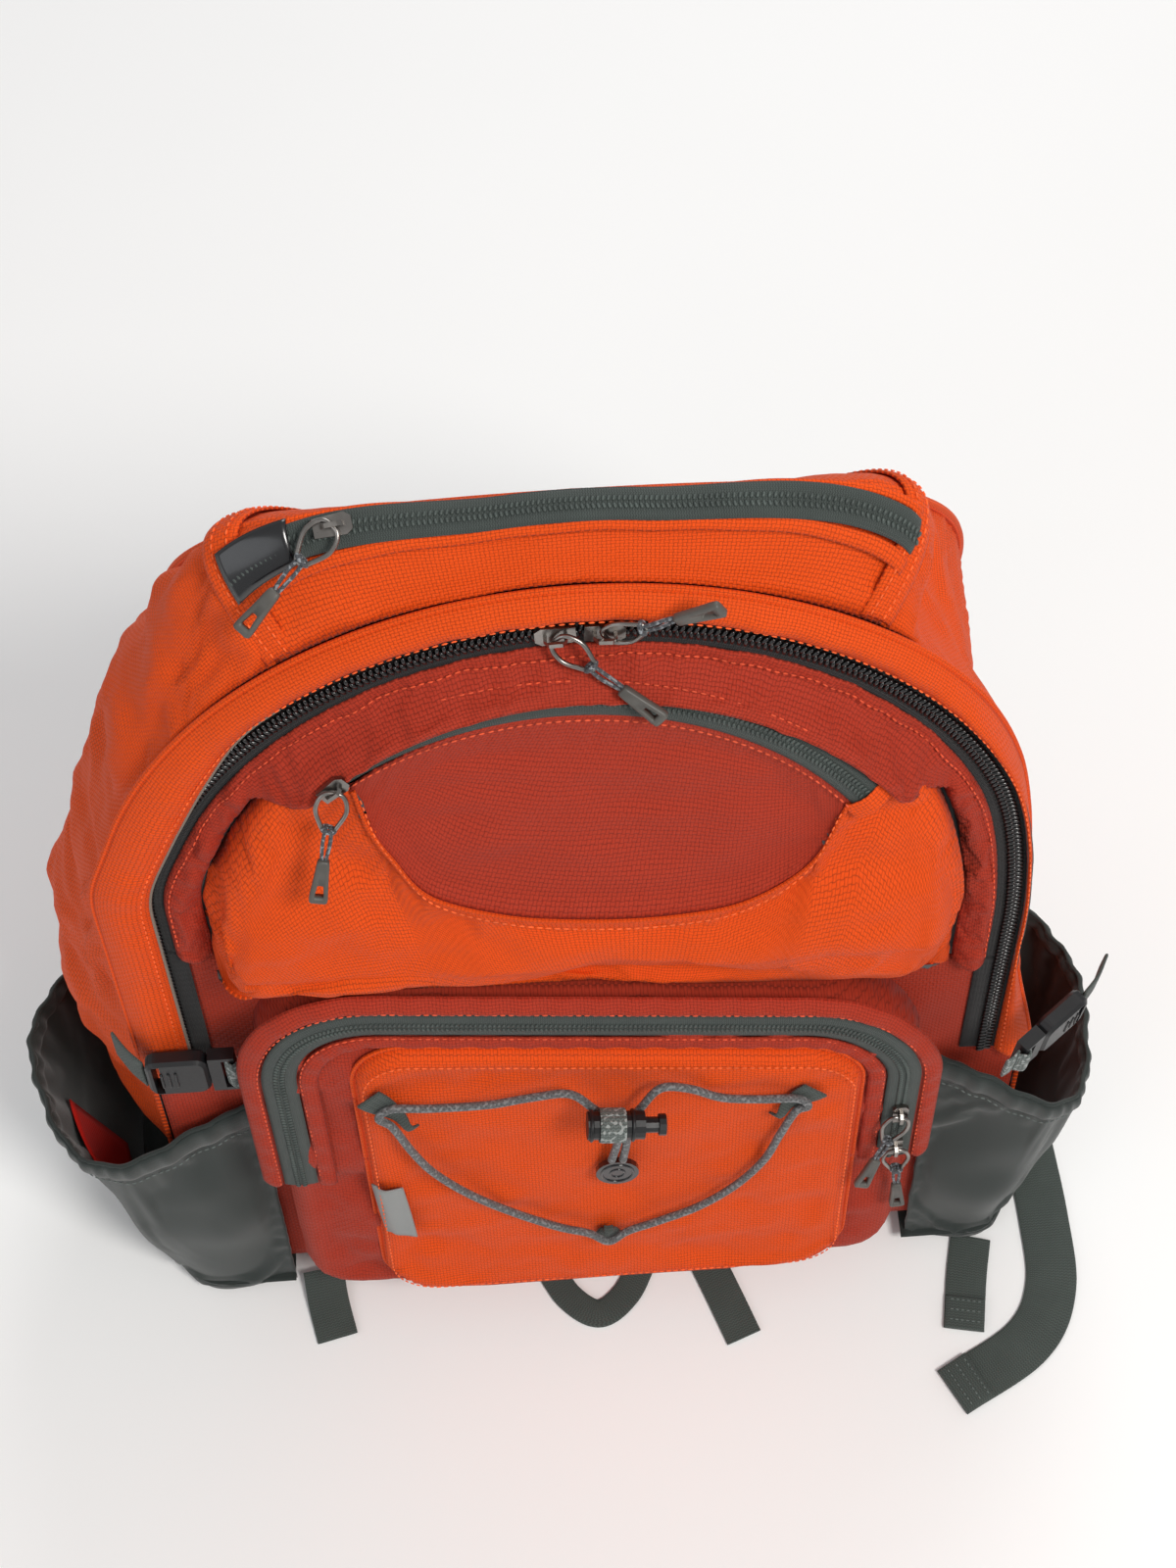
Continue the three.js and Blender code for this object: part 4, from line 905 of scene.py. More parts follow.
def make_main_zip():
    end, fold_end = leg_length(ZIP_END), leg_length(FOLD)
    wall_out = np.array([0, -COS, SIN])

    def line(start, stop, offset, n, count=300):
        u, v, _ = arch_point(np.linspace(start, stop, count), offset)
        return on_front(u, v, n)

    tape("main_zip_outer_tape", line(-end, end, 0.2, 0.7), line(-end, end, 6.5, 0.9), TAPE_BLACK, "pack_body",
         "black_zip", ("main_zip_outer",))
    tape("main_zip_inner_tape", line(-fold_end, fold_end, -10.5, 0.9), line(-fold_end, fold_end, -0.2, 0.7),
         TAPE_BLACK, "front_flap", "black_zip", ("main_zip_inner",))
    for side, name in ((-1, "left"), (1, "right")):
        tape(f"main_zip_leg_{name}", line(side * end, side * fold_end, -10.5, 0.9, 30),
             line(side * end, side * fold_end, -0.2, 0.7, 30), TAPE_BLACK, "pack_body", "black_zip")

    pitch = 2.5
    places, along = resample(line(-end, end, 0, 1.9, 900), pitch)
    cross = np.cross(along, wall_out)
    middle = on_front(0, ARCH_CENTRE, 0)
    flip = np.sign(((places - middle) * cross).sum(-1, keepdims=True))
    outward = cross * np.where(flip == 0, 1, flip)
    lean = 0.28 * along
    beads("main_teeth_outer", places + outward * 1.3, unit(outward + lean), wall_out, (4.6, 1.75, 2.2), COIL_BLACK,
          "pack_body", "black_zip")
    shift = along * pitch / 2
    down_the_wall = (places - on_front(0, FOLD, 0)) @ np.array([0, SIN, COS])
    on_leg = down_the_wall + (places[:, 0]) * hang(FOLD) < 0
    inner = places - outward * 1.3 + shift
    for body, chosen in (("front_flap", ~on_leg), ("pack_body", on_leg)):
        beads(f"main_teeth_{'flap' if body == 'front_flap' else 'legs'}", inner[chosen],
              unit(lean[chosen] - outward[chosen]), wall_out, (4.6, 1.75, 2.2), COIL_BLACK, body, "black_zip")


def coil_zip(name, middle, side_way, out, half_width, body, nodes, thread, sew=True):
    """A reverse coil zip: a flat tape with its coil showing as two ribbed rows and a centre line."""
    share = np.linspace(-1, 1, 9)
    dome = 0.9 * (1 - np.abs(share) ** 3)
    points = (middle[:, None] + (share * half_width)[None, :, None] * side_way[:, None]
              + dome[None, :, None] * out[:, None])
    sheet_grid(f"{name}_tape", points, TAPE_GREY, body, "grey_zip", nodes, 1.1, lining=None)
    count = max(int(np.linalg.norm(np.diff(middle, axis=0), axis=1).sum() / 1.9), 2)
    share = np.linspace(0, 1, len(middle))
    at = np.linspace(0, 1, count)
    places, way, up_way = (
        np.stack([np.interp(at, share, a[:, k]) for k in range(3)], 1) for a in (middle, side_way, out))
    along = unit(np.gradient(places, axis=0))
    for row, sign in (("a", 1), ("b", -1)):
        beads(f"{name}_coil_{row}", places + unit(way) * sign * 1.45 + up_way * 1.15,
              unit(way + 0.35 * sign * along), unit(up_way), (2.5, 1.25, 1.1), COIL_GREY, body, "grey_zip")
    if sew:
        for row, sign in (("a", 1), ("b", -1)):
            stitches(f"{name}_sewn_{row}", middle + side_way * sign * (half_width + 1.6) + out * 1.0, out, thread,
                     body, "grey_zip")


def top_row(s, off):
    """Where on the top panel a line beside the zip runs, in shares of its depth; off is in mm."""
    return 0.47 - 0.22 * (s / 100) ** 2 + off / (50 + 30 * (s / 100) ** 2)


def make_top_zip():
    s = np.linspace(-96, 96, 120)
    middle = on_wall(s, top_row(s, 0), 1.5)
    side_way = unit(on_wall(s, top_row(s, 3), 1.5) - on_wall(s, top_row(s, -3), 1.5))
    out = unit(np.cross(np.gradient(middle, axis=0), side_way))
    out *= np.sign(out[:, 2:3])
    coil_zip("top_zip", middle, side_way, out, 6.4, "pack_body", ("top_zip",), ORANGE_THREAD, sew=False)
    span, cross = np.meshgrid(np.linspace(-97, -76, 14), np.linspace(-8, 8, 10), indexing="ij")
    sheet_grid("top_zip_garage", on_wall(span, top_row(span, cross), 4.1), GLOSS, "pack_body", "black_plastic",
               thickness=0.9, lining=None)
    for name, cross in (("lower", -8.4), ("upper", 8.4)):
        grid_s, width = np.meshgrid(s, np.linspace(-2.2, 2.2, 7), indexing="ij")
        fold = 1.9 * np.sqrt(np.clip(1 - (width / 2.4) ** 2, 0, 1))
        wave = 0.3 * np.sin(grid_s / 4.3 + (1.7 if name == "upper" else 0))
        sheet_grid(f"top_zip_edge_{name}", on_wall(grid_s, top_row(grid_s, cross + width), 0.9 + fold + wave), ORANGE,
                   "pack_body", "orange_nylon", thickness=0.8, lining=None)


def upper_arc(angle, radius):
    return ZIP_U + radius * np.sin(angle), ZIP_V + radius * np.cos(angle)


SMILE = [(-84, 151), (-80, 132), (-73, 116), (-60, 94), (-32, 81), (0, 77), (32, 78), (60, 84), (84, 101), (96, 129)]


def make_upper_pocket():
    angle = np.linspace(ZIP_FROM, ZIP_TO, 140)
    line = [on_upper(*upper_arc(angle, ZIP_RADIUS + step), 0.6) for step in (-6.5, 0, 6.5)]
    side_way = unit(line[2] - line[0])
    middle = (line[0] + line[2]) / 2
    out = unit(np.cross(np.gradient(middle, axis=0), side_way))
    out *= -np.sign(out[:, 1:2])
    coil_zip("upper_pocket_zip", middle + out * 0.6, side_way, out, 6.4, "front_flap", ("upper_pocket_zip",),
             RUST_THREAD)

    end_line = [on_upper(*upper_arc(ZIP_TO - 0.01, ZIP_RADIUS + step), 3.4 - 0.02 * step ** 2) for step in (-9, 0, 9)]
    ribbon("upper_zip_end", end_line, unit(middle[-1] - middle[-2]), 8, ORANGE,
           "front_flap", "orange_nylon", thickness=1.0, steps=16)

    smile = spline(SMILE, 120)
    top = np.stack(upper_arc(np.linspace(-0.66, 0.9, 120), ZIP_RADIUS - 5.5), 1)
    share = np.linspace(0, 1, 34)[None, :, None]
    flat = top[:, None] * (1 - share) + smile[:, None] * share
    points = on_upper(flat[..., 0], flat[..., 1], 0)
    fade = np.sin(math.pi * np.linspace(0, 1, 34))[None] * np.sin(math.pi * np.linspace(0, 1, 120))[:, None] ** 0.5
    lift = 0.9 + rumple(points, 2.4, 24, 21, (1.8, 1, 0.7)) * fade
    points = on_upper(flat[..., 0], flat[..., 1], lift)
    sheet_grid("upper_insert", points, RUST, "front_flap", "rust_nylon", thickness=1.2, lining=None,
               sim=dict(pressure=0.8, spare=0.02, cap=4, frames=12))

    legs = np.linspace(UPPER_BOTTOM, UPPER_CENTRE, 8)
    start = math.atan2(-100, 155 - UPPER_CENTRE)
    finish = math.atan2(110, 133 - UPPER_CENTRE)
    left = [(-UPPER_RADIUS, v) for v in legs]
    left += [(UPPER_RADIUS * math.sin(a), UPPER_CENTRE + UPPER_RADIUS * math.cos(a))
             for a in np.linspace(-math.pi / 2, start, 20)[1:]]
    right = [(UPPER_RADIUS * math.sin(a), UPPER_CENTRE + UPPER_RADIUS * math.cos(a))
             for a in np.linspace(finish, math.pi / 2, 20)]
    right += [(UPPER_RADIUS, v) for v in legs[::-1][1:]]
    outline = np.array(left + [tuple(p) for p in smile] + right)
    outline, _ = resample(outline, 3.2)
    outline[0], outline[-1] = (-UPPER_RADIUS, UPPER_BOTTOM), (UPPER_RADIUS, UPPER_BOTTOM)
    rows = len(outline)
    base = np.stack([np.linspace(-UPPER_RADIUS + 2, UPPER_RADIUS - 2, rows), np.full(rows, UPPER_BOTTOM * 1.0)], 1)
    share = np.linspace(0, 1, 40)[None, :, None]
    flat = outline[:, None] * (1 - share) + base[:, None] * share
    points = on_upper(flat[..., 0], flat[..., 1], 0)
    belly = 5 * smooth(flat[..., 1], 20, 60) * (1 - smooth(flat[..., 1], 60, 120))
    fade = np.sin(math.pi * np.linspace(0, 1, 40)) ** 0.6
    lift = 0.2 + (rumple(points, 4.2, 40, 31, (2.2, 1, 0.8)) + rumple(points, 1.6, 16, 33, (1.5, 1, 1)) + belly) * fade
    points = on_upper(flat[..., 0], flat[..., 1], lift)
    sheet_grid("upper_pocket_cloth", points, ORANGE, "front_flap", "orange_nylon", ("upper_pocket",), 1.4,
               sim=dict(pressure=1.5, spare=0.025, cap=6, frames=14))
    seam = on_upper(smile[:, 0], smile[:, 1], 1.6)
    wall_out = np.array([0, -COS, SIN])
    rod("upper_insert_seam", seam, 1.8, ORANGE, "front_flap", "orange_nylon", sides=8)
    inset = spline([(u * 0.975, v - 3.4) for u, v in SMILE], 140)
    stitches("upper_insert_stitch", on_upper(inset[:, 0], inset[:, 1], 2.2), wall_out, ORANGE_THREAD, "front_flap",
             "orange_nylon")


def make_flap():
    """The flap's padded rim, between the main zip's tape and the upper pocket."""
    end = leg_length(FOLD)
    s, b = np.meshgrid(np.linspace(-end, end, 300), np.linspace(0, 1, 14), indexing="ij")
    _, _, angle = arch_point(s, 0)
    near_zip = smooth(angle, -0.98, -0.76) * (1 - smooth(angle, 0.92, 1.12))
    inner_r = 151 - 8 * near_zip
    outer_u, outer_v, _ = arch_point(s, -TAPE_IN + 2.0)
    drop = ARCH_CENTRE - UPPER_CENTRE
    inner_u = inner_r * np.sin(angle)
    inner_v = np.where(np.abs(angle) < math.pi / 2 - 1e-6, UPPER_CENTRE + inner_r * np.cos(angle), outer_v)
    u = outer_u * (1 - b) + inner_u * b
    v = outer_v * (1 - b) + inner_v * b
    edge_height = upper_height(inner_u, inner_v) * near_zip
    rise = 1.6 + 3.0 * smooth(b, 0.4, 0.85) * near_zip + edge_height * smooth(b, 0.1, 1) + (5.5 - 0.25 * edge_height * 0.5) * np.sin(math.pi * b ** 0.85)
    points = on_front(u, v, rise)
    pucker = (rumple(points, 2.0, 11, 41) + rumple(points, 2.2, 30, 42)) * np.sin(math.pi * b)
    pucker = np.maximum(pucker, -0.9)
    points = points + pucker[..., None] * [0, -COS, SIN]
    sheet_grid("flap_rim", points, RUST, "front_flap", "rust_nylon", ("flap_panel",), 1.4,
               sim=dict(pressure=0.7, spare=0.03, cap=3, frames=12))
    for number, share in enumerate((0.16, 0.72)):
        k = int(share * 13)
        line = points[4:-4, k] + np.array([0, -COS, SIN]) * 0.5
        if number == 0:
            stitches("flap_rim_stitch", line, np.array([0, -COS, SIN]), RUST_THREAD, "front_flap", "rust_nylon")

    back = [(math.sin(a) * 163, ARCH_CENTRE + math.cos(a) * 163) for a in np.linspace(-math.pi / 2, math.pi / 2, 60)]
    back = [(-163, FOLD)] + back + [(163, FOLD)]
    patch("flap_back", back, 8, lambda u, v, inside: on_front(u, v, -0.6), LINING, "front_flap", "rust_nylon",
          thickness=1.6)

    u, row = np.meshgrid(np.linspace(-163, 163, 90), np.linspace(0, 1, 12), indexing="ij")
    gusset = on_front(u, FOLD - 7 + 14 * row, -2.0 + 0.8 * np.sin(u / 9) * np.sin(math.pi * row))
    low, high = on_front(0, FOLD - 3.5, -2), on_front(0, FOLD + 3.5, -2)
    across_fold = ("pack_body", "front_flap", tuple(world(low)), tuple(world(high)))
    sheet_grid("flap_gusset", gusset, RUST, across_fold, "rust_nylon", thickness=0, lining=None)


# ---------------------------------------------------------------- lower pocket


def rounded(left, right, bottom, top, top_radius, bottom_radius):
    corners = ((right - bottom_radius, bottom + bottom_radius, bottom_radius, -90),
               (right - top_radius, top - top_radius, top_radius, 0),
               (left + top_radius, top - top_radius, top_radius, 90),
               (left + bottom_radius, bottom + bottom_radius, bottom_radius, 180))
    points = []
    for u, v, radius, start in corners:
        for turn in np.radians(np.linspace(start, start + 90, 12)):
            points.append((u + radius * math.cos(turn), v + radius * math.sin(turn)))
    return np.array(points)


def make_lower_pocket():
    wall_out = np.array([0, -COS, SIN])

    def shell(u, v, inside):
        edge = np.clip(inside / 13, 0, 1)
        height = POCKET_DEPTH * np.sqrt(1 - (1 - edge) ** 2)
        near_zip = smooth(inside, 4, 9) * (1 - smooth(inside, 14, 19))
        points = on_front(u, v, height)
        folds = rumple(points, 3.2, 26, 51, (1.3, 1, 1.3)) + rumple(points, 1.5, 11, 52)
        return on_front(u, v, height + (folds - 0.6) * (1 - 0.8 * near_zip) * smooth(inside, 0, 6))

    patch("lower_pocket_cloth", rounded(-143, 143, -224, 10, 52, 30), 3.6, shell, RUST, "pack_body", "rust_nylon",
          ("lower_pocket",), 1.4)

    t = np.linspace(0, 1, 220)
    line = [on_front(*lower_zip(t, step), POCKET_DEPTH + 0.9) for step in (-7.5, 0, 7.5)]
    side_way = unit(line[2] - line[0])
    out = np.broadcast_to(wall_out, side_way.shape)
    coil_zip("lower_pocket_zip", line[1], side_way, out, 7.4, "pack_body", ("lower_pocket_zip",), RUST_THREAD)
    for name, step, width, lift in (("outer", 12.5, 4.5, 1.0), ("inner", -12.0, 4.0, 1.2)):
        row, wide = np.meshgrid(t, np.linspace(-1, 1, 7), indexing="ij")
        u, v = lower_zip(row, step + wide * width)
        wave = 0.6 * np.sin(row * 190) * (1 - wide ** 2)
        height = POCKET_DEPTH - (3.0 if name == "outer" else 0) * smooth(np.abs(wide * width + step), 10, 18)
        rise = height + lift + 1.6 * np.sqrt(np.clip(1 - wide ** 2, 0, 1)) + wave
        sheet_grid(f"lower_zip_edge_{name}", on_front(u, v, rise), RUST, "pack_body", "rust_nylon", thickness=0.9,
                   lining=None)

    def face(u, v, inside):
        edge = np.clip(inside / 9, 0, 1)
        height = POCKET_DEPTH + 0.6 + (FACE_RISE - 0.6) * np.sqrt(1 - (1 - edge) ** 2)
        points = on_front(u, v, height)
        folds = rumple(points, 3.0, 34, 61, (1.7, 1, 1)) + rumple(points, 1.1, 13, 62)
        calm = 1 - 0.55 * np.exp(-((u - 5) / 60) ** 2 - ((v + 90) / 60) ** 2)
        return on_front(u, v, height + (folds - 1.3) * smooth(inside, 2, 16) * calm)

    outline = rounded(-102, 114, -212, -16, 26, 26)
    patch("lower_face_cloth", outline, 3.2, face, ORANGE, "pack_body", "orange_nylon", ("lower_pocket_front",), 1.2,
          sim=dict(pressure=0.5, spare=0.012, cap=2.2, frames=10))
    closed = np.concatenate([outline, outline[:1]])
    smooth_line, _ = resample(closed, 2.0)
    smooth_line = np.concatenate([smooth_line, smooth_line[:1]])
    rod("lower_face_seam", on_front(smooth_line[:, 0], smooth_line[:, 1], POCKET_DEPTH + 1.0), 2.0, ORANGE,
        "pack_body", "orange_nylon", sides=8)
    inner = rounded(-97.5, 109.5, -207.5, -20.5, 22, 22)
    inner = np.concatenate([inner, inner[:1]])
    stitches("lower_face_stitch", on_front(inner[:, 0], inner[:, 1], POCKET_DEPTH + FACE_RISE - 0.4), wall_out,
             ORANGE_THREAD, "pack_body", "orange_nylon")

    u, v = np.meshgrid(np.linspace(0, 1, 8), np.linspace(0, 1, 24), indexing="ij")
    tab_u = -101 + 14 * u + 3 * v
    tab_v = -113 - 42 * v
    lift = POCKET_DEPTH + FACE_RISE + 0.6 - 3.5 * (1 - smooth(u, 0, 0.4)) + 0.8 * np.sin(3 * v + 4 * u)
    sheet_grid("reflective_tab", on_front(tab_u, tab_v, lift), REFLECTIVE, "pack_body", "webbing", thickness=0.8,
               lining=None)


# ---------------------------------------------------------------- side pockets

POCKETS = {
    "left": (-1, [(150, -201), (200, -197), (226, -112), (189, -34)], [(150, -170), (226, -182), (260, -104), (207, -34)]),
    "right": (1, [(152, -201), (198, -197), (214, -112), (173.5, -34)], [(152, -170), (216, -184), (232, -108), (185, -34)]),
}
POCKET_FLOOR, POCKET_RIM = 4, 172


def pocket_point(shape, u, v, outward):
    side, floor, rim = shape
    count = 200
    at = np.clip(u, 0, 1) * (count - 1)
    index = np.minimum(at.astype(int), count - 2)
    part = (at - index)[..., None]
    lines = [spline([(side * x, y) for x, y in row], count) for row in (floor, rim)]
    low, high = (line[index] * (1 - part) + line[index + 1] * part for line in lines)
    opened = (v * v * (3 - 2 * v) * 0.5 + v * 0.5)[..., None]
    plan = low * (1 - opened) + high * opened
    along = unit(lines[0][index + 1] - lines[0][index]) * (1 - opened) + unit(lines[1][index + 1] - lines[1][index]) * opened
    out = unit(np.stack([along[..., 1], -along[..., 0]], -1)) * side
    plan = plan + out * outward[..., None]
    z = POCKET_FLOOR + (POCKET_RIM - 14 * np.sin(math.pi * u) - 60 * u - POCKET_FLOOR) * v
    return np.concatenate([plan, z[..., None]], -1)


def make_side_pockets():
    for name, shape in POCKETS.items():
        u, v = np.meshgrid(np.linspace(0, 1, 110), np.linspace(0, 1, 50), indexing="ij")
        start = pocket_point(shape, u, v, np.zeros_like(u))
        seed = 71 if name == "left" else 75
        gather = smooth(v, 0.62, 0.97) * (0.6 * np.sin(u * 74 + 2 * np.sin(u * 9)) + 0.5 * np.sin(u * 31 + 1))
        loose = rumple(start, 4.0, 50, seed, (1, 1, 1.5)) * np.sin(math.pi * np.clip(v, 0, 1)) ** 0.6
        loose = np.maximum(loose + 1.0, -0.2) * np.sin(math.pi * np.clip(v, 0, 1)) ** 0.5
        ends = smooth(u, 0, 0.06) * (1 - smooth(u, 0.94, 1))
        points = pocket_point(shape, u, v, (gather + loose) * ends)
        centre = np.array([0, -80.0, 90.0])
        sheet_grid(f"side_pocket_{name}_cloth", points, DARK, "pack_body", "dark_fabric", (f"side_pocket_{name}",),
                   1.5, lining=None, facing=centre, sim=dict(pressure=0.3, spare=0.02, cap=3, frames=12))
        base_u, inward = np.meshgrid(np.linspace(0.02, 0.98, 40), np.linspace(0, 1, 12), indexing="ij")
        base = pocket_point(shape, base_u, np.full_like(base_u, 0.03), np.zeros_like(base_u))
        target = np.array([shape[0] * 150, 0, 0]) + base * [0, 1, 1]
        base = base * (1 - inward)[..., None] + target * inward[..., None] + [0, 0, 1.5]
        sheet_grid(f"side_pocket_{name}_base", base, DARK, "pack_body", "dark_fabric", thickness=1.0, lining=None)
        row = np.linspace(0.0, 1.0, 200)
        wave = 0.6 * np.sin(row * 74 + 2 * np.sin(row * 9)) + 0.5 * np.sin(row * 31 + 1)
        hem_ends = smooth(row, 0, 0.06) * (1 - smooth(row, 0.94, 1))
        top = pocket_point(shape, row, np.full(200, 0.985), wave * hem_ends)
        low = pocket_point(shape, row, np.full(200, 0.90), wave * hem_ends * 0.85)
        turn = np.linspace(0, 2 * math.pi, 14, endpoint=False)
        side = shape[0]
        plan_out = unit((top - np.array([side * 150, -110, 0])) * [1, 1, 0])
        middle, half = (top + low) / 2, (top - low) / 2
        points = (middle[:, None] + np.cos(turn)[None, :, None] * half[:, None] * 1.1
                  + np.sin(turn)[None, :, None] * plan_out[:, None] * (2.4 + 0.5 * np.sin(row * 160))[:, None, None])
        faces = grid_faces(200, 14, wrap=True) + [tuple(range(14)), tuple(reversed(range(199 * 14, 200 * 14)))]
        length = np.cumsum(np.full(200, 1.6))
        uv = np.stack(np.broadcast_arrays(length[:, None], 16 * turn[None] / 6.3), -1) * MM
        hem = mesh_object(f"side_pocket_{name}_hem", points, faces, uv, facing=None)
        finish_piece(hem, DARK, "pack_body", "dark_fabric")
        sewn = pocket_point(shape, row, np.full(200, 0.885), wave * hem_ends * 0.85 + 1.3)
        stitches(f"side_pocket_{name}_stitch", sewn[4:-4], plan_out[4:-4], DARK_THREAD, "pack_body", "dark_fabric")
    u, v = np.meshgrid(np.linspace(0.4, 0.56, 10), np.linspace(0.3, 0.74, 12), indexing="ij")
    sheet_grid("side_lining_patch", pocket_point(POCKETS["left"], u, v, np.full_like(u, -2.6)), PATCH_RED, "pack_body", "rust_nylon", thickness=0.8, lining=None)


# ---------------------------------------------------------------- back, pads and straps


def arch_line(radius, centre, bottom, count=60):
    turn = np.linspace(0, math.pi, count)
    points = [(radius * math.cos(a), centre + radius * math.sin(a)) for a in turn]
    return np.array([(radius, bottom)] + points + [(-radius, bottom)])


def make_back():
    def place(x, z, inside):
        swell = 0.6 - 3.0 * (1 - smooth(inside, 0, 16)) - 1.2 * (np.abs(np.sin(z / 30 * math.pi)) < 0.12) * smooth(inside, 12, 20)
        return np.stack([x, swell - 1.4 - lean_at(z), z], -1)

    patch("back_panel_cloth", arch_line(163, BACK_CENTRE, 22.8), 6, place, PAD_CLOTH, "pack_body", "dark_fabric",
          ("back_panel",), 2.4)

    for name, side in (("left", -1), ("right", 1)):
        outline = rounded(-43 + side * 68, 43 + side * 68, 62, 320, 38, 28)

        def pad(x, z, inside):
            height = 11.5 * np.sqrt(1 - (1 - np.clip(inside / 16, 0, 1)) ** 2)
            channel = 4.5 * np.exp(-((np.mod(z - 60, 84) - 42) / 5) ** 2) * smooth(inside, 3, 12)
            return np.stack([x, 0.8 + height - channel, z], -1)

        ob = patch(f"back_pad_{name}_mesh", outline, 4.5, pad, BACK_MESH, "pack_body", "back_mesh",
                   (f"back_pad_{name}",), 0, None, facing=np.array([side * 68, -60, 230]),
                   sim=dict(pressure=2.5, spare=0.01, cap=2.5, frames=10, volume=True))
        thicken(ob, 0.8)
        edge = np.concatenate([outline, outline[:1]])
        edge, _ = resample(edge, 4.0)
        line = np.stack([edge[:, 0], np.full(len(edge), 1.2), edge[:, 1]], -1)
        rod(f"back_pad_piping_{name}", np.concatenate([line, line[:1]]), 2.6, DARK, "pack_body", "dark_fabric", sides=8)

        route = spline([(side * x, y, z) for x, y, z in (
            (50, -2, 352), (56, 12, 338), (64, 32, 305), (76, 45, 262), (89, 47, 215), (101, 38, 170), (110, 27, 136))], 60)
        share = np.linspace(0, 1, 60)
        width = 66 * (1 - 0.42 * smooth(share, 0.55, 1)) - 3
        tangent = unit(np.gradient(route, axis=0))
        flat = np.array([1.0, 0, 0])
        thin = unit(np.cross(np.broadcast_to(flat, tangent.shape), tangent))
        turn = np.linspace(0, 2 * math.pi, 32, endpoint=False)
        wide = np.sign(np.cos(turn)) * np.abs(np.cos(turn)) ** 0.7
        thick = np.sign(np.sin(turn)) * np.abs(np.sin(turn)) ** 0.75
        points = (route[:, None] + (width[:, None] / 2 * wide[None])[..., None] * flat
                  + (5.0 * thick)[None, :, None] * thin[:, None])
        faces = grid_faces(60, 32, wrap=True) + [tuple(range(32)), tuple(reversed(range(59 * 32, 60 * 32)))]
        strap = mesh_object(f"shoulder_strap_{name}_foam", points, faces, facing=None)
        rim = [i * 32 + j for i in range(60) for j in (0, 16)] + list(range(32)) + list(range(59 * 32, 60 * 32))
        simulate(strap, rim, pressure=2.5, spare=0.01, cap=2.2, frames=10, volume=True)
        finish_piece(strap, PAD_CLOTH, "pack_body", "dark_fabric", f"shoulder_strap_{name}")
        for edge_name, sign in (("inner", -1), ("outer", 1)):
            line = route + (width / 2 * sign)[:, None] * flat
            rod(f"strap_binding_{name}_{edge_name}", line[1:-1], 3.4, DARK, "pack_body", "dark_fabric", sides=8)
        middle = route - thin * np.sign(thin[:, 1:2]) * -6.6
        ribbon(f"strap_daisy_{name}", middle[4:-6:6], np.broadcast_to(flat, (40, 3)), 20, WEBBING, "pack_body",
               "webbing", thickness=1.2)


def box_stitch(name, corner, along, across, out, length, width, thread=DARK_THREAD, body="pack_body"):
    """A sewn rectangle with a cross in it."""
    corner, along, across = (np.asarray(a, float) for a in (corner, along, across))
    p = [corner, corner + along * length, corner + along * length + across * width, corner + across * width]
    line = np.array([p[0], p[1], p[2], p[3], p[0], p[2], p[3], p[1]])
    dense, _ = resample(line, 0.5)
    stitches(name, dense, np.asarray(out, float), thread, body, "webbing", pitch=2.6, length=1.9, width=0.6)


def make_webbing():
    for side, name in ((-1, "left"), (1, "right")):
        ribbon(f"strap_webbing_{name}_band",
               [(side * 119.6, 21, 100), (side * 130, 17, 72), (side * 140, 9, 48), (side * 146, 2.2, 34)],
               (1, 0, side * 0.28), 25, WEBBING, "pack_body", "webbing", (f"strap_webbing_{name}",))
    loop = [(-42, -15, 380), (-36, -7, 376), (-18, 1, 368), (0, 3, 364), (18, 1, 368), (36, -7, 376), (42, -15, 380)]
    ribbon("haul_loop_band", loop, (0, -0.2, 0.98), 20, WEBBING, "pack_body", "webbing", ("haul_loop",), 2.6, 60)

    def floor_band(name, route, width, node, steps=60, fold=False):
        points = spline([(p[0], p[1], p[2] if len(p) > 2 else 0.95) for p in route], steps)
        flat = unit(np.gradient(points, axis=0))
        across = np.stack([-flat[:, 1], flat[:, 0], 0 * flat[:, 0]], -1)
        ribbon(name, points, across, width, WEBBING, "pack_body", "webbing", (node,), steps=steps)
        if fold:
            end, back = points[-1], points[-1] - flat[-1] * 16
            ribbon(f"{name}_hem", [end + [0, 0, 1.7], (end + back) / 2 + [0, 0, 1.8], back + [0, 0, 1.7]], across[-1],
                   width - 0.6, WEBBING, "pack_body", "webbing", steps=12)
            for k in (4, 9, 14):
                row = points[-1] - flat[-1] * k + [0, 0, 2.9]
                line = np.array([row - across[-1] * (width / 2 - 2), row + across[-1] * (width / 2 - 2)])
                stitches(f"{name}_sewn_{k}", line, np.array([0, 0, 1.0]), DARK_THREAD, "pack_body", "webbing",
                         pitch=2.4, length=1.8)

    floor_band("waist_tail_left_band", [(-137, -198.5, 7), (-135, -214, 2.4), (-131, -232)], 20, "waist_tail_left")
    floor_band("waist_tail_right_band", [(222, -152), (224, -196), (222, -232), (206, -258), (166, -280)], 25,
               "waist_tail_right", fold=True)
    floor_band("short_tail_right_band", [(186, -204), (181, -224), (176, -250)], 20, "short_tail_right", fold=True)
    floor_band("bottom_loop_middle_band", [(-26, -203), (-16, -220), (-2, -229), (12, -220), (22, -203)], 14,
               "bottom_loop_middle")
    floor_band("bottom_loop_right_band", [(52, -203), (60, -224), (68, -246)], 18, "bottom_loop_right")


# ---------------------------------------------------------------- hardware carried over from the frame


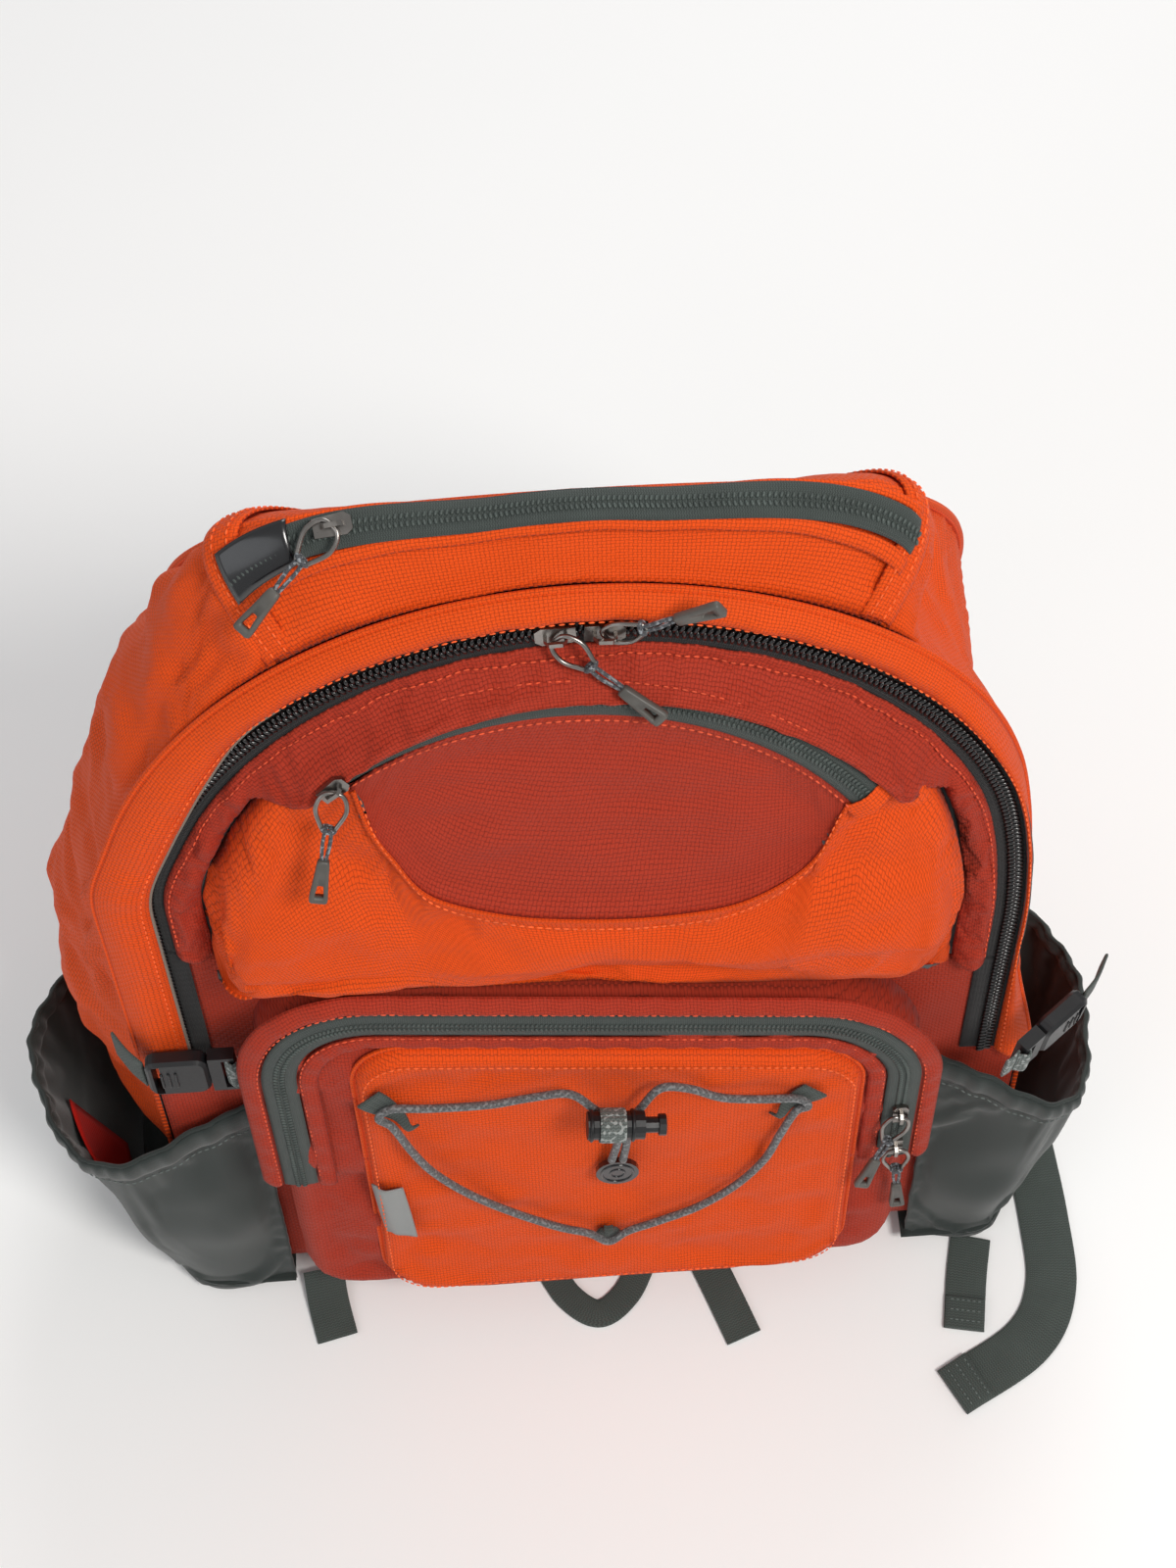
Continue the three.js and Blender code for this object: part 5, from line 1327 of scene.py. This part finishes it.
def dress(node, material, bevel=0.5, segments=2):
    """A CAD node that keeps its shape: its own material, and softly rounded edges."""
    ob = frame["nodes"][node]
    ob.data.materials.clear()
    ob.data.materials.append(material)
    if bevel:
        rounding = ob.modifiers.new("rounding", "BEVEL")
        rounding.width = bevel * MM
        rounding.segments = segments
        rounding.limit_method = "ANGLE"
        rounding.angle_limit = math.radians(35)
    ob.data.polygons.foreach_set("use_smooth", [True] * len(ob.data.polygons))
    ob.modifiers.new("smooth", "WEIGHTED_NORMAL").keep_sharp = True
    return ob


def node_points(node):
    mesh = frame["nodes"][node].data
    flat = np.empty(len(mesh.vertices) * 3)
    mesh.vertices.foreach_get("co", flat)
    return flat.reshape(-1, 3) / MM - OFFSET


def make_hardware():
    for name in ("main_left", "main_right", "top", "upper", "lower_first", "lower_second"):
        dress(f"{name}_slider", GUNMETAL, 0.5, 3)
    for side in ("left", "right"):
        dress(f"buckle_female_{side}", PLASTIC, 0.8, 3)
        dress(f"buckle_male_{side}", PLASTIC, 0.7, 3)
        dress(f"ladder_lock_{side}", PLASTIC, 0.9, 3)
    dress("cord_lock_barrel", PLASTIC, 0.6, 3)
    dress("cord_lock_plunger", PLASTIC, 0.5, 3)
    dress("cord_end_disc", GLOSS, 0.8, 3)
    dress("frame_sheet", SHEET_PLASTIC, 0.5)


def make_pulls():
    """Each pull: a wire loop on the slider's bar, a doubled cord and a windowed grip."""
    for joint in frame["record"]["behaviour"]["joints"]:
        if not joint["name"].endswith("_pull_swing"):
            continue
        name = joint["child"]
        pivot = np.array(joint["pos_m"]) / MM - OFFSET
        y = -unit(joint["axis"])
        centre = node_points(name).mean(0) - pivot
        x = unit(centre - y * (centre @ y))
        z = np.cross(x, y)

        def local(points):
            points = np.asarray(points, float)
            return pivot + points[..., 0:1] * x + points[..., 1:2] * y + points[..., 2:3] * z

        turn = np.linspace(0, 2 * math.pi, 48, endpoint=False)
        # A teardrop: wide and square at the bar, narrow where the cord passes.
        reach = 8.5 - 8.5 * np.cos(turn)
        narrow = 1 - 0.45 * smooth(reach, 6, 17)
        wide = 5.75 * np.sign(np.sin(turn)) * np.abs(np.sin(turn)) ** 0.62 * narrow
        rod(f"{name}_loop", local(np.stack([reach, wide, 0 * turn], -1)), 1.8, GUNMETAL, name, "gunmetal",
            closed=True, sides=10)
        share = np.linspace(0, 1, 26)
        for strand, sign in (("a", 1), ("b", -1)):
            cord = np.stack([14.4 + 16.5 * share, sign * (0.6 + 0.75 * np.sin(math.pi * share ** 0.7)),
                             0.5 * np.sin(share * 5)], -1)
            rod(f"{name}_cord_{strand}", local(cord), 1.5, PULL_CORD, name, "grey_cord", sides=8)
        knot = np.stack([15.6 + 0 * turn + 0.4 * np.cos(turn), 2.3 * np.cos(turn), 1.9 * np.sin(turn)], -1)
        rod(f"{name}_knot", local(knot), 1.9, PULL_CORD, name, "grey_cord", closed=True, sides=8)

        outline = [(0, 2.0), (1.5, 2.3), (9, 2.8), (17, 3.5), (18.6, 3.3), (19, 2.6)]
        outline = np.array(outline + [(a, -b) for a, b in reversed(outline)])
        ring, _ = resample(np.concatenate([outline, outline[:1]]), 1.0)
        hole_centre = np.array([13.6, 0])
        window = hole_centre + (ring - [10.2, 0]) * [0.3, 0.5]
        layers = []
        for inset, height in ((0.7, -1.6), (0, -1.1), (0, 1.1), (0.7, 1.6)):
            scaled = [9.8, 0] + (ring - [9.8, 0]) * [1 - inset / 10, 1 - inset / 3]
            layers.append(np.stack([scaled[:, 0] + 29.2, scaled[:, 1], np.full(len(ring), height)], -1))
        for height in (1.6, -1.6):
            layers.append(np.stack([window[:, 0] + 29.2, window[:, 1], np.full(len(ring), height)], -1))
        layers.append(layers[0])
        grip = mesh_object(f"{name}_grip", local(np.array(layers)), grid_faces(len(layers), len(ring), wrap=True),
                           facing=None)
        grip.modifiers.new("join", "WELD").merge_threshold = 0.00002
        finish_piece(grip, GRIP, name, "black_plastic", name)


# ---------------------------------------------------------------- bungee, cord lock and buckle trim

BUNGEE = [
    (5, -90, 1), (8, -72, 1), (6, -56, 1.5), (-2, -44, 2.2), (-12, -33, 1.5), (-28, -38, 0), (-46, -43, 0),
    (-70, -45, 0), (-86, -45, 0), (-92, -50, 1), (-87, -58, 0), (-80, -78, 0), (-72, -96, 0),
    (-58, -116, 0), (-40, -134, 0), (-20, -150, 0), (-6, -158, 0), (3, -165, 1), (12, -158, 0),
    (26, -150, 0), (44, -138, 0), (60, -120, 0), (72, -98, 0), (78, -76, 0), (84, -54, 0),
    (89, -47, 1), (84, -42, 0), (68, -42, 0), (52, -40, 0), (38, -32, 0), (26, -29, 1.5),
    (18, -43, 2.2), (13, -56, 1.5), (12, -72, 1), (10, -90, 1),
]


def make_bungee():
    face = POCKET_DEPTH + FACE_RISE
    route = spline([on_front(u, v, face + 2.8 + rise) for u, v, rise in BUNGEE], 340)
    rod("bungee_braid", route, 3.6, CORD_GREY, "pack_body", "grey_cord", ("bungee_cord",), sides=12)
    wall_out = np.array([0, -COS, SIN])
    for name, u, v, away_u, away_v in (("left", -87, -50, -20, 20), ("right", 84, -48, 20, 20), ("bottom", 3, -161, 0, -16)):
        toes = np.array([-away_v, away_u]) / math.hypot(away_u, away_v) * 7
        a, b = np.meshgrid(np.linspace(-0.5, 0.42, 16), np.linspace(-1, 1, 12), indexing="ij")
        spread = 0.3 + 0.7 * smooth(a, -0.4, 0.35)
        hump = 4.6 * np.exp(-((a + 0.36) / 0.13) ** 2) * (1 - 0.2 * b ** 2)
        points = on_front(u + away_u * a + toes[0] * spread * b, v + away_v * a + toes[1] * spread * b,
                          face + 0.7 + hump)
        sheet_grid(f"bungee_tab_{name}_web", points, WEBBING, "pack_body", "webbing", (f"bungee_tab_{name}",), 1.1,
                   lining=None)

    barrel = node_points("cord_lock_barrel")
    centre = (barrel.max(0) + barrel.min(0)) / 2
    lift = face + 2.8 + 10.0
    axis = unit(on_front(20, -43, lift) - on_front(0, -43, lift))
    up_way = np.cross(wall_out, axis)
    turn = np.linspace(0, 2 * math.pi, 40)
    ring = centre + np.cos(turn)[:, None] * up_way * 6.9 + np.sin(turn)[:, None] * wall_out * 6.9 - axis * 1.5
    ribbon("cord_lock_wrap", ring, axis, 11, PATTERN, "pack_body", "webbing", thickness=1.1, steps=60)
    for k, step in enumerate((-10.4, 7.0)):
        ring = centre + np.cos(turn[:-1])[:, None] * up_way * 6.2 + np.sin(turn[:-1])[:, None] * wall_out * 6.2
        rod(f"cord_lock_rim_{k}", ring + axis * step, 1.6, PLASTIC, "pack_body", "black_plastic", closed=True)

    disc = node_points("cord_end_disc")
    centre = (disc.max(0) + disc.min(0)) / 2
    for k, (radius, wire) in enumerate(((7.0, 1.2), (3.2, 1.0))):
        ring = centre + wall_out * 1.3 + radius * (np.cos(turn[:-1])[:, None] * axis + np.sin(turn[:-1])[:, None] * up_way)
        rod(f"cord_disc_ridge_{k}", ring, wire, GLOSS, "pack_body", "gloss_black", closed=True)


def make_buckle_trim():
    wall_out = np.array([0, -COS, SIN])
    seats = {
        "left": (on_front(-162, -49, 15), np.array([1.0, 0, 0]), wall_out, on_front(-201, -47, 3), on_front(-144.5, -50, 15)),
        "right": (np.array([188.0, -181, 214]), np.array([-0.8, -0.6, 0]), np.array([0.6, -0.8, 0]),
                  np.array([222.0, -148, 214]), np.array([172.0, -193, 214])),
    }
    for name, (seat, along, out, body_end, pocket_end) in seats.items():
        wide = np.cross(out, along)
        start = seat - along * 27.2
        line = [start, (start + body_end) / 2 + out * 1.2, body_end]
        reach = ("pack_body", f"buckle_{name}", tuple(world(body_end)), tuple(world(start)))
        ribbon(f"compression_strap_{name}_band", line, wide, 19, WEBBING, reach, "webbing",
               (f"compression_strap_{name}",))
        begin = seat + along * 12.8
        ribbon(f"pocket_strap_{name}_band", [begin, (begin + pocket_end) / 2 + out * 0.6, pocket_end], wide, 19,
               PATTERN, "pack_body", "webbing", (f"pocket_strap_{name}",))
        loop = [begin + along * 1.5 + out * 1.0, begin - along * 1.8 + out * 4.2, begin - along * 5.2 + out * 1.5]
        ribbon(f"pocket_loop_{name}", loop, wide, 18.4, PATTERN, "pack_body", "webbing", steps=24)
        for k, step in enumerate((-19.5, -16.5, -13.5)):
            bar = np.array([seat + along * step + out * 4.1 - wide * 5.5, seat + along * step + out * 4.1 + wide * 5.5])
            rod(f"buckle_rib_{name}_{k}", resample(bar, 0.8)[0], 1.2, PLASTIC, f"buckle_{name}", "black_plastic")


make_walls()
make_bottom()
make_front_wall()
make_band()
make_main_zip()
make_top_zip()
make_upper_pocket()
make_flap()
make_lower_pocket()
make_side_pockets()
make_back()
make_webbing()
make_hardware()
make_pulls()
make_bungee()
make_buckle_trim()
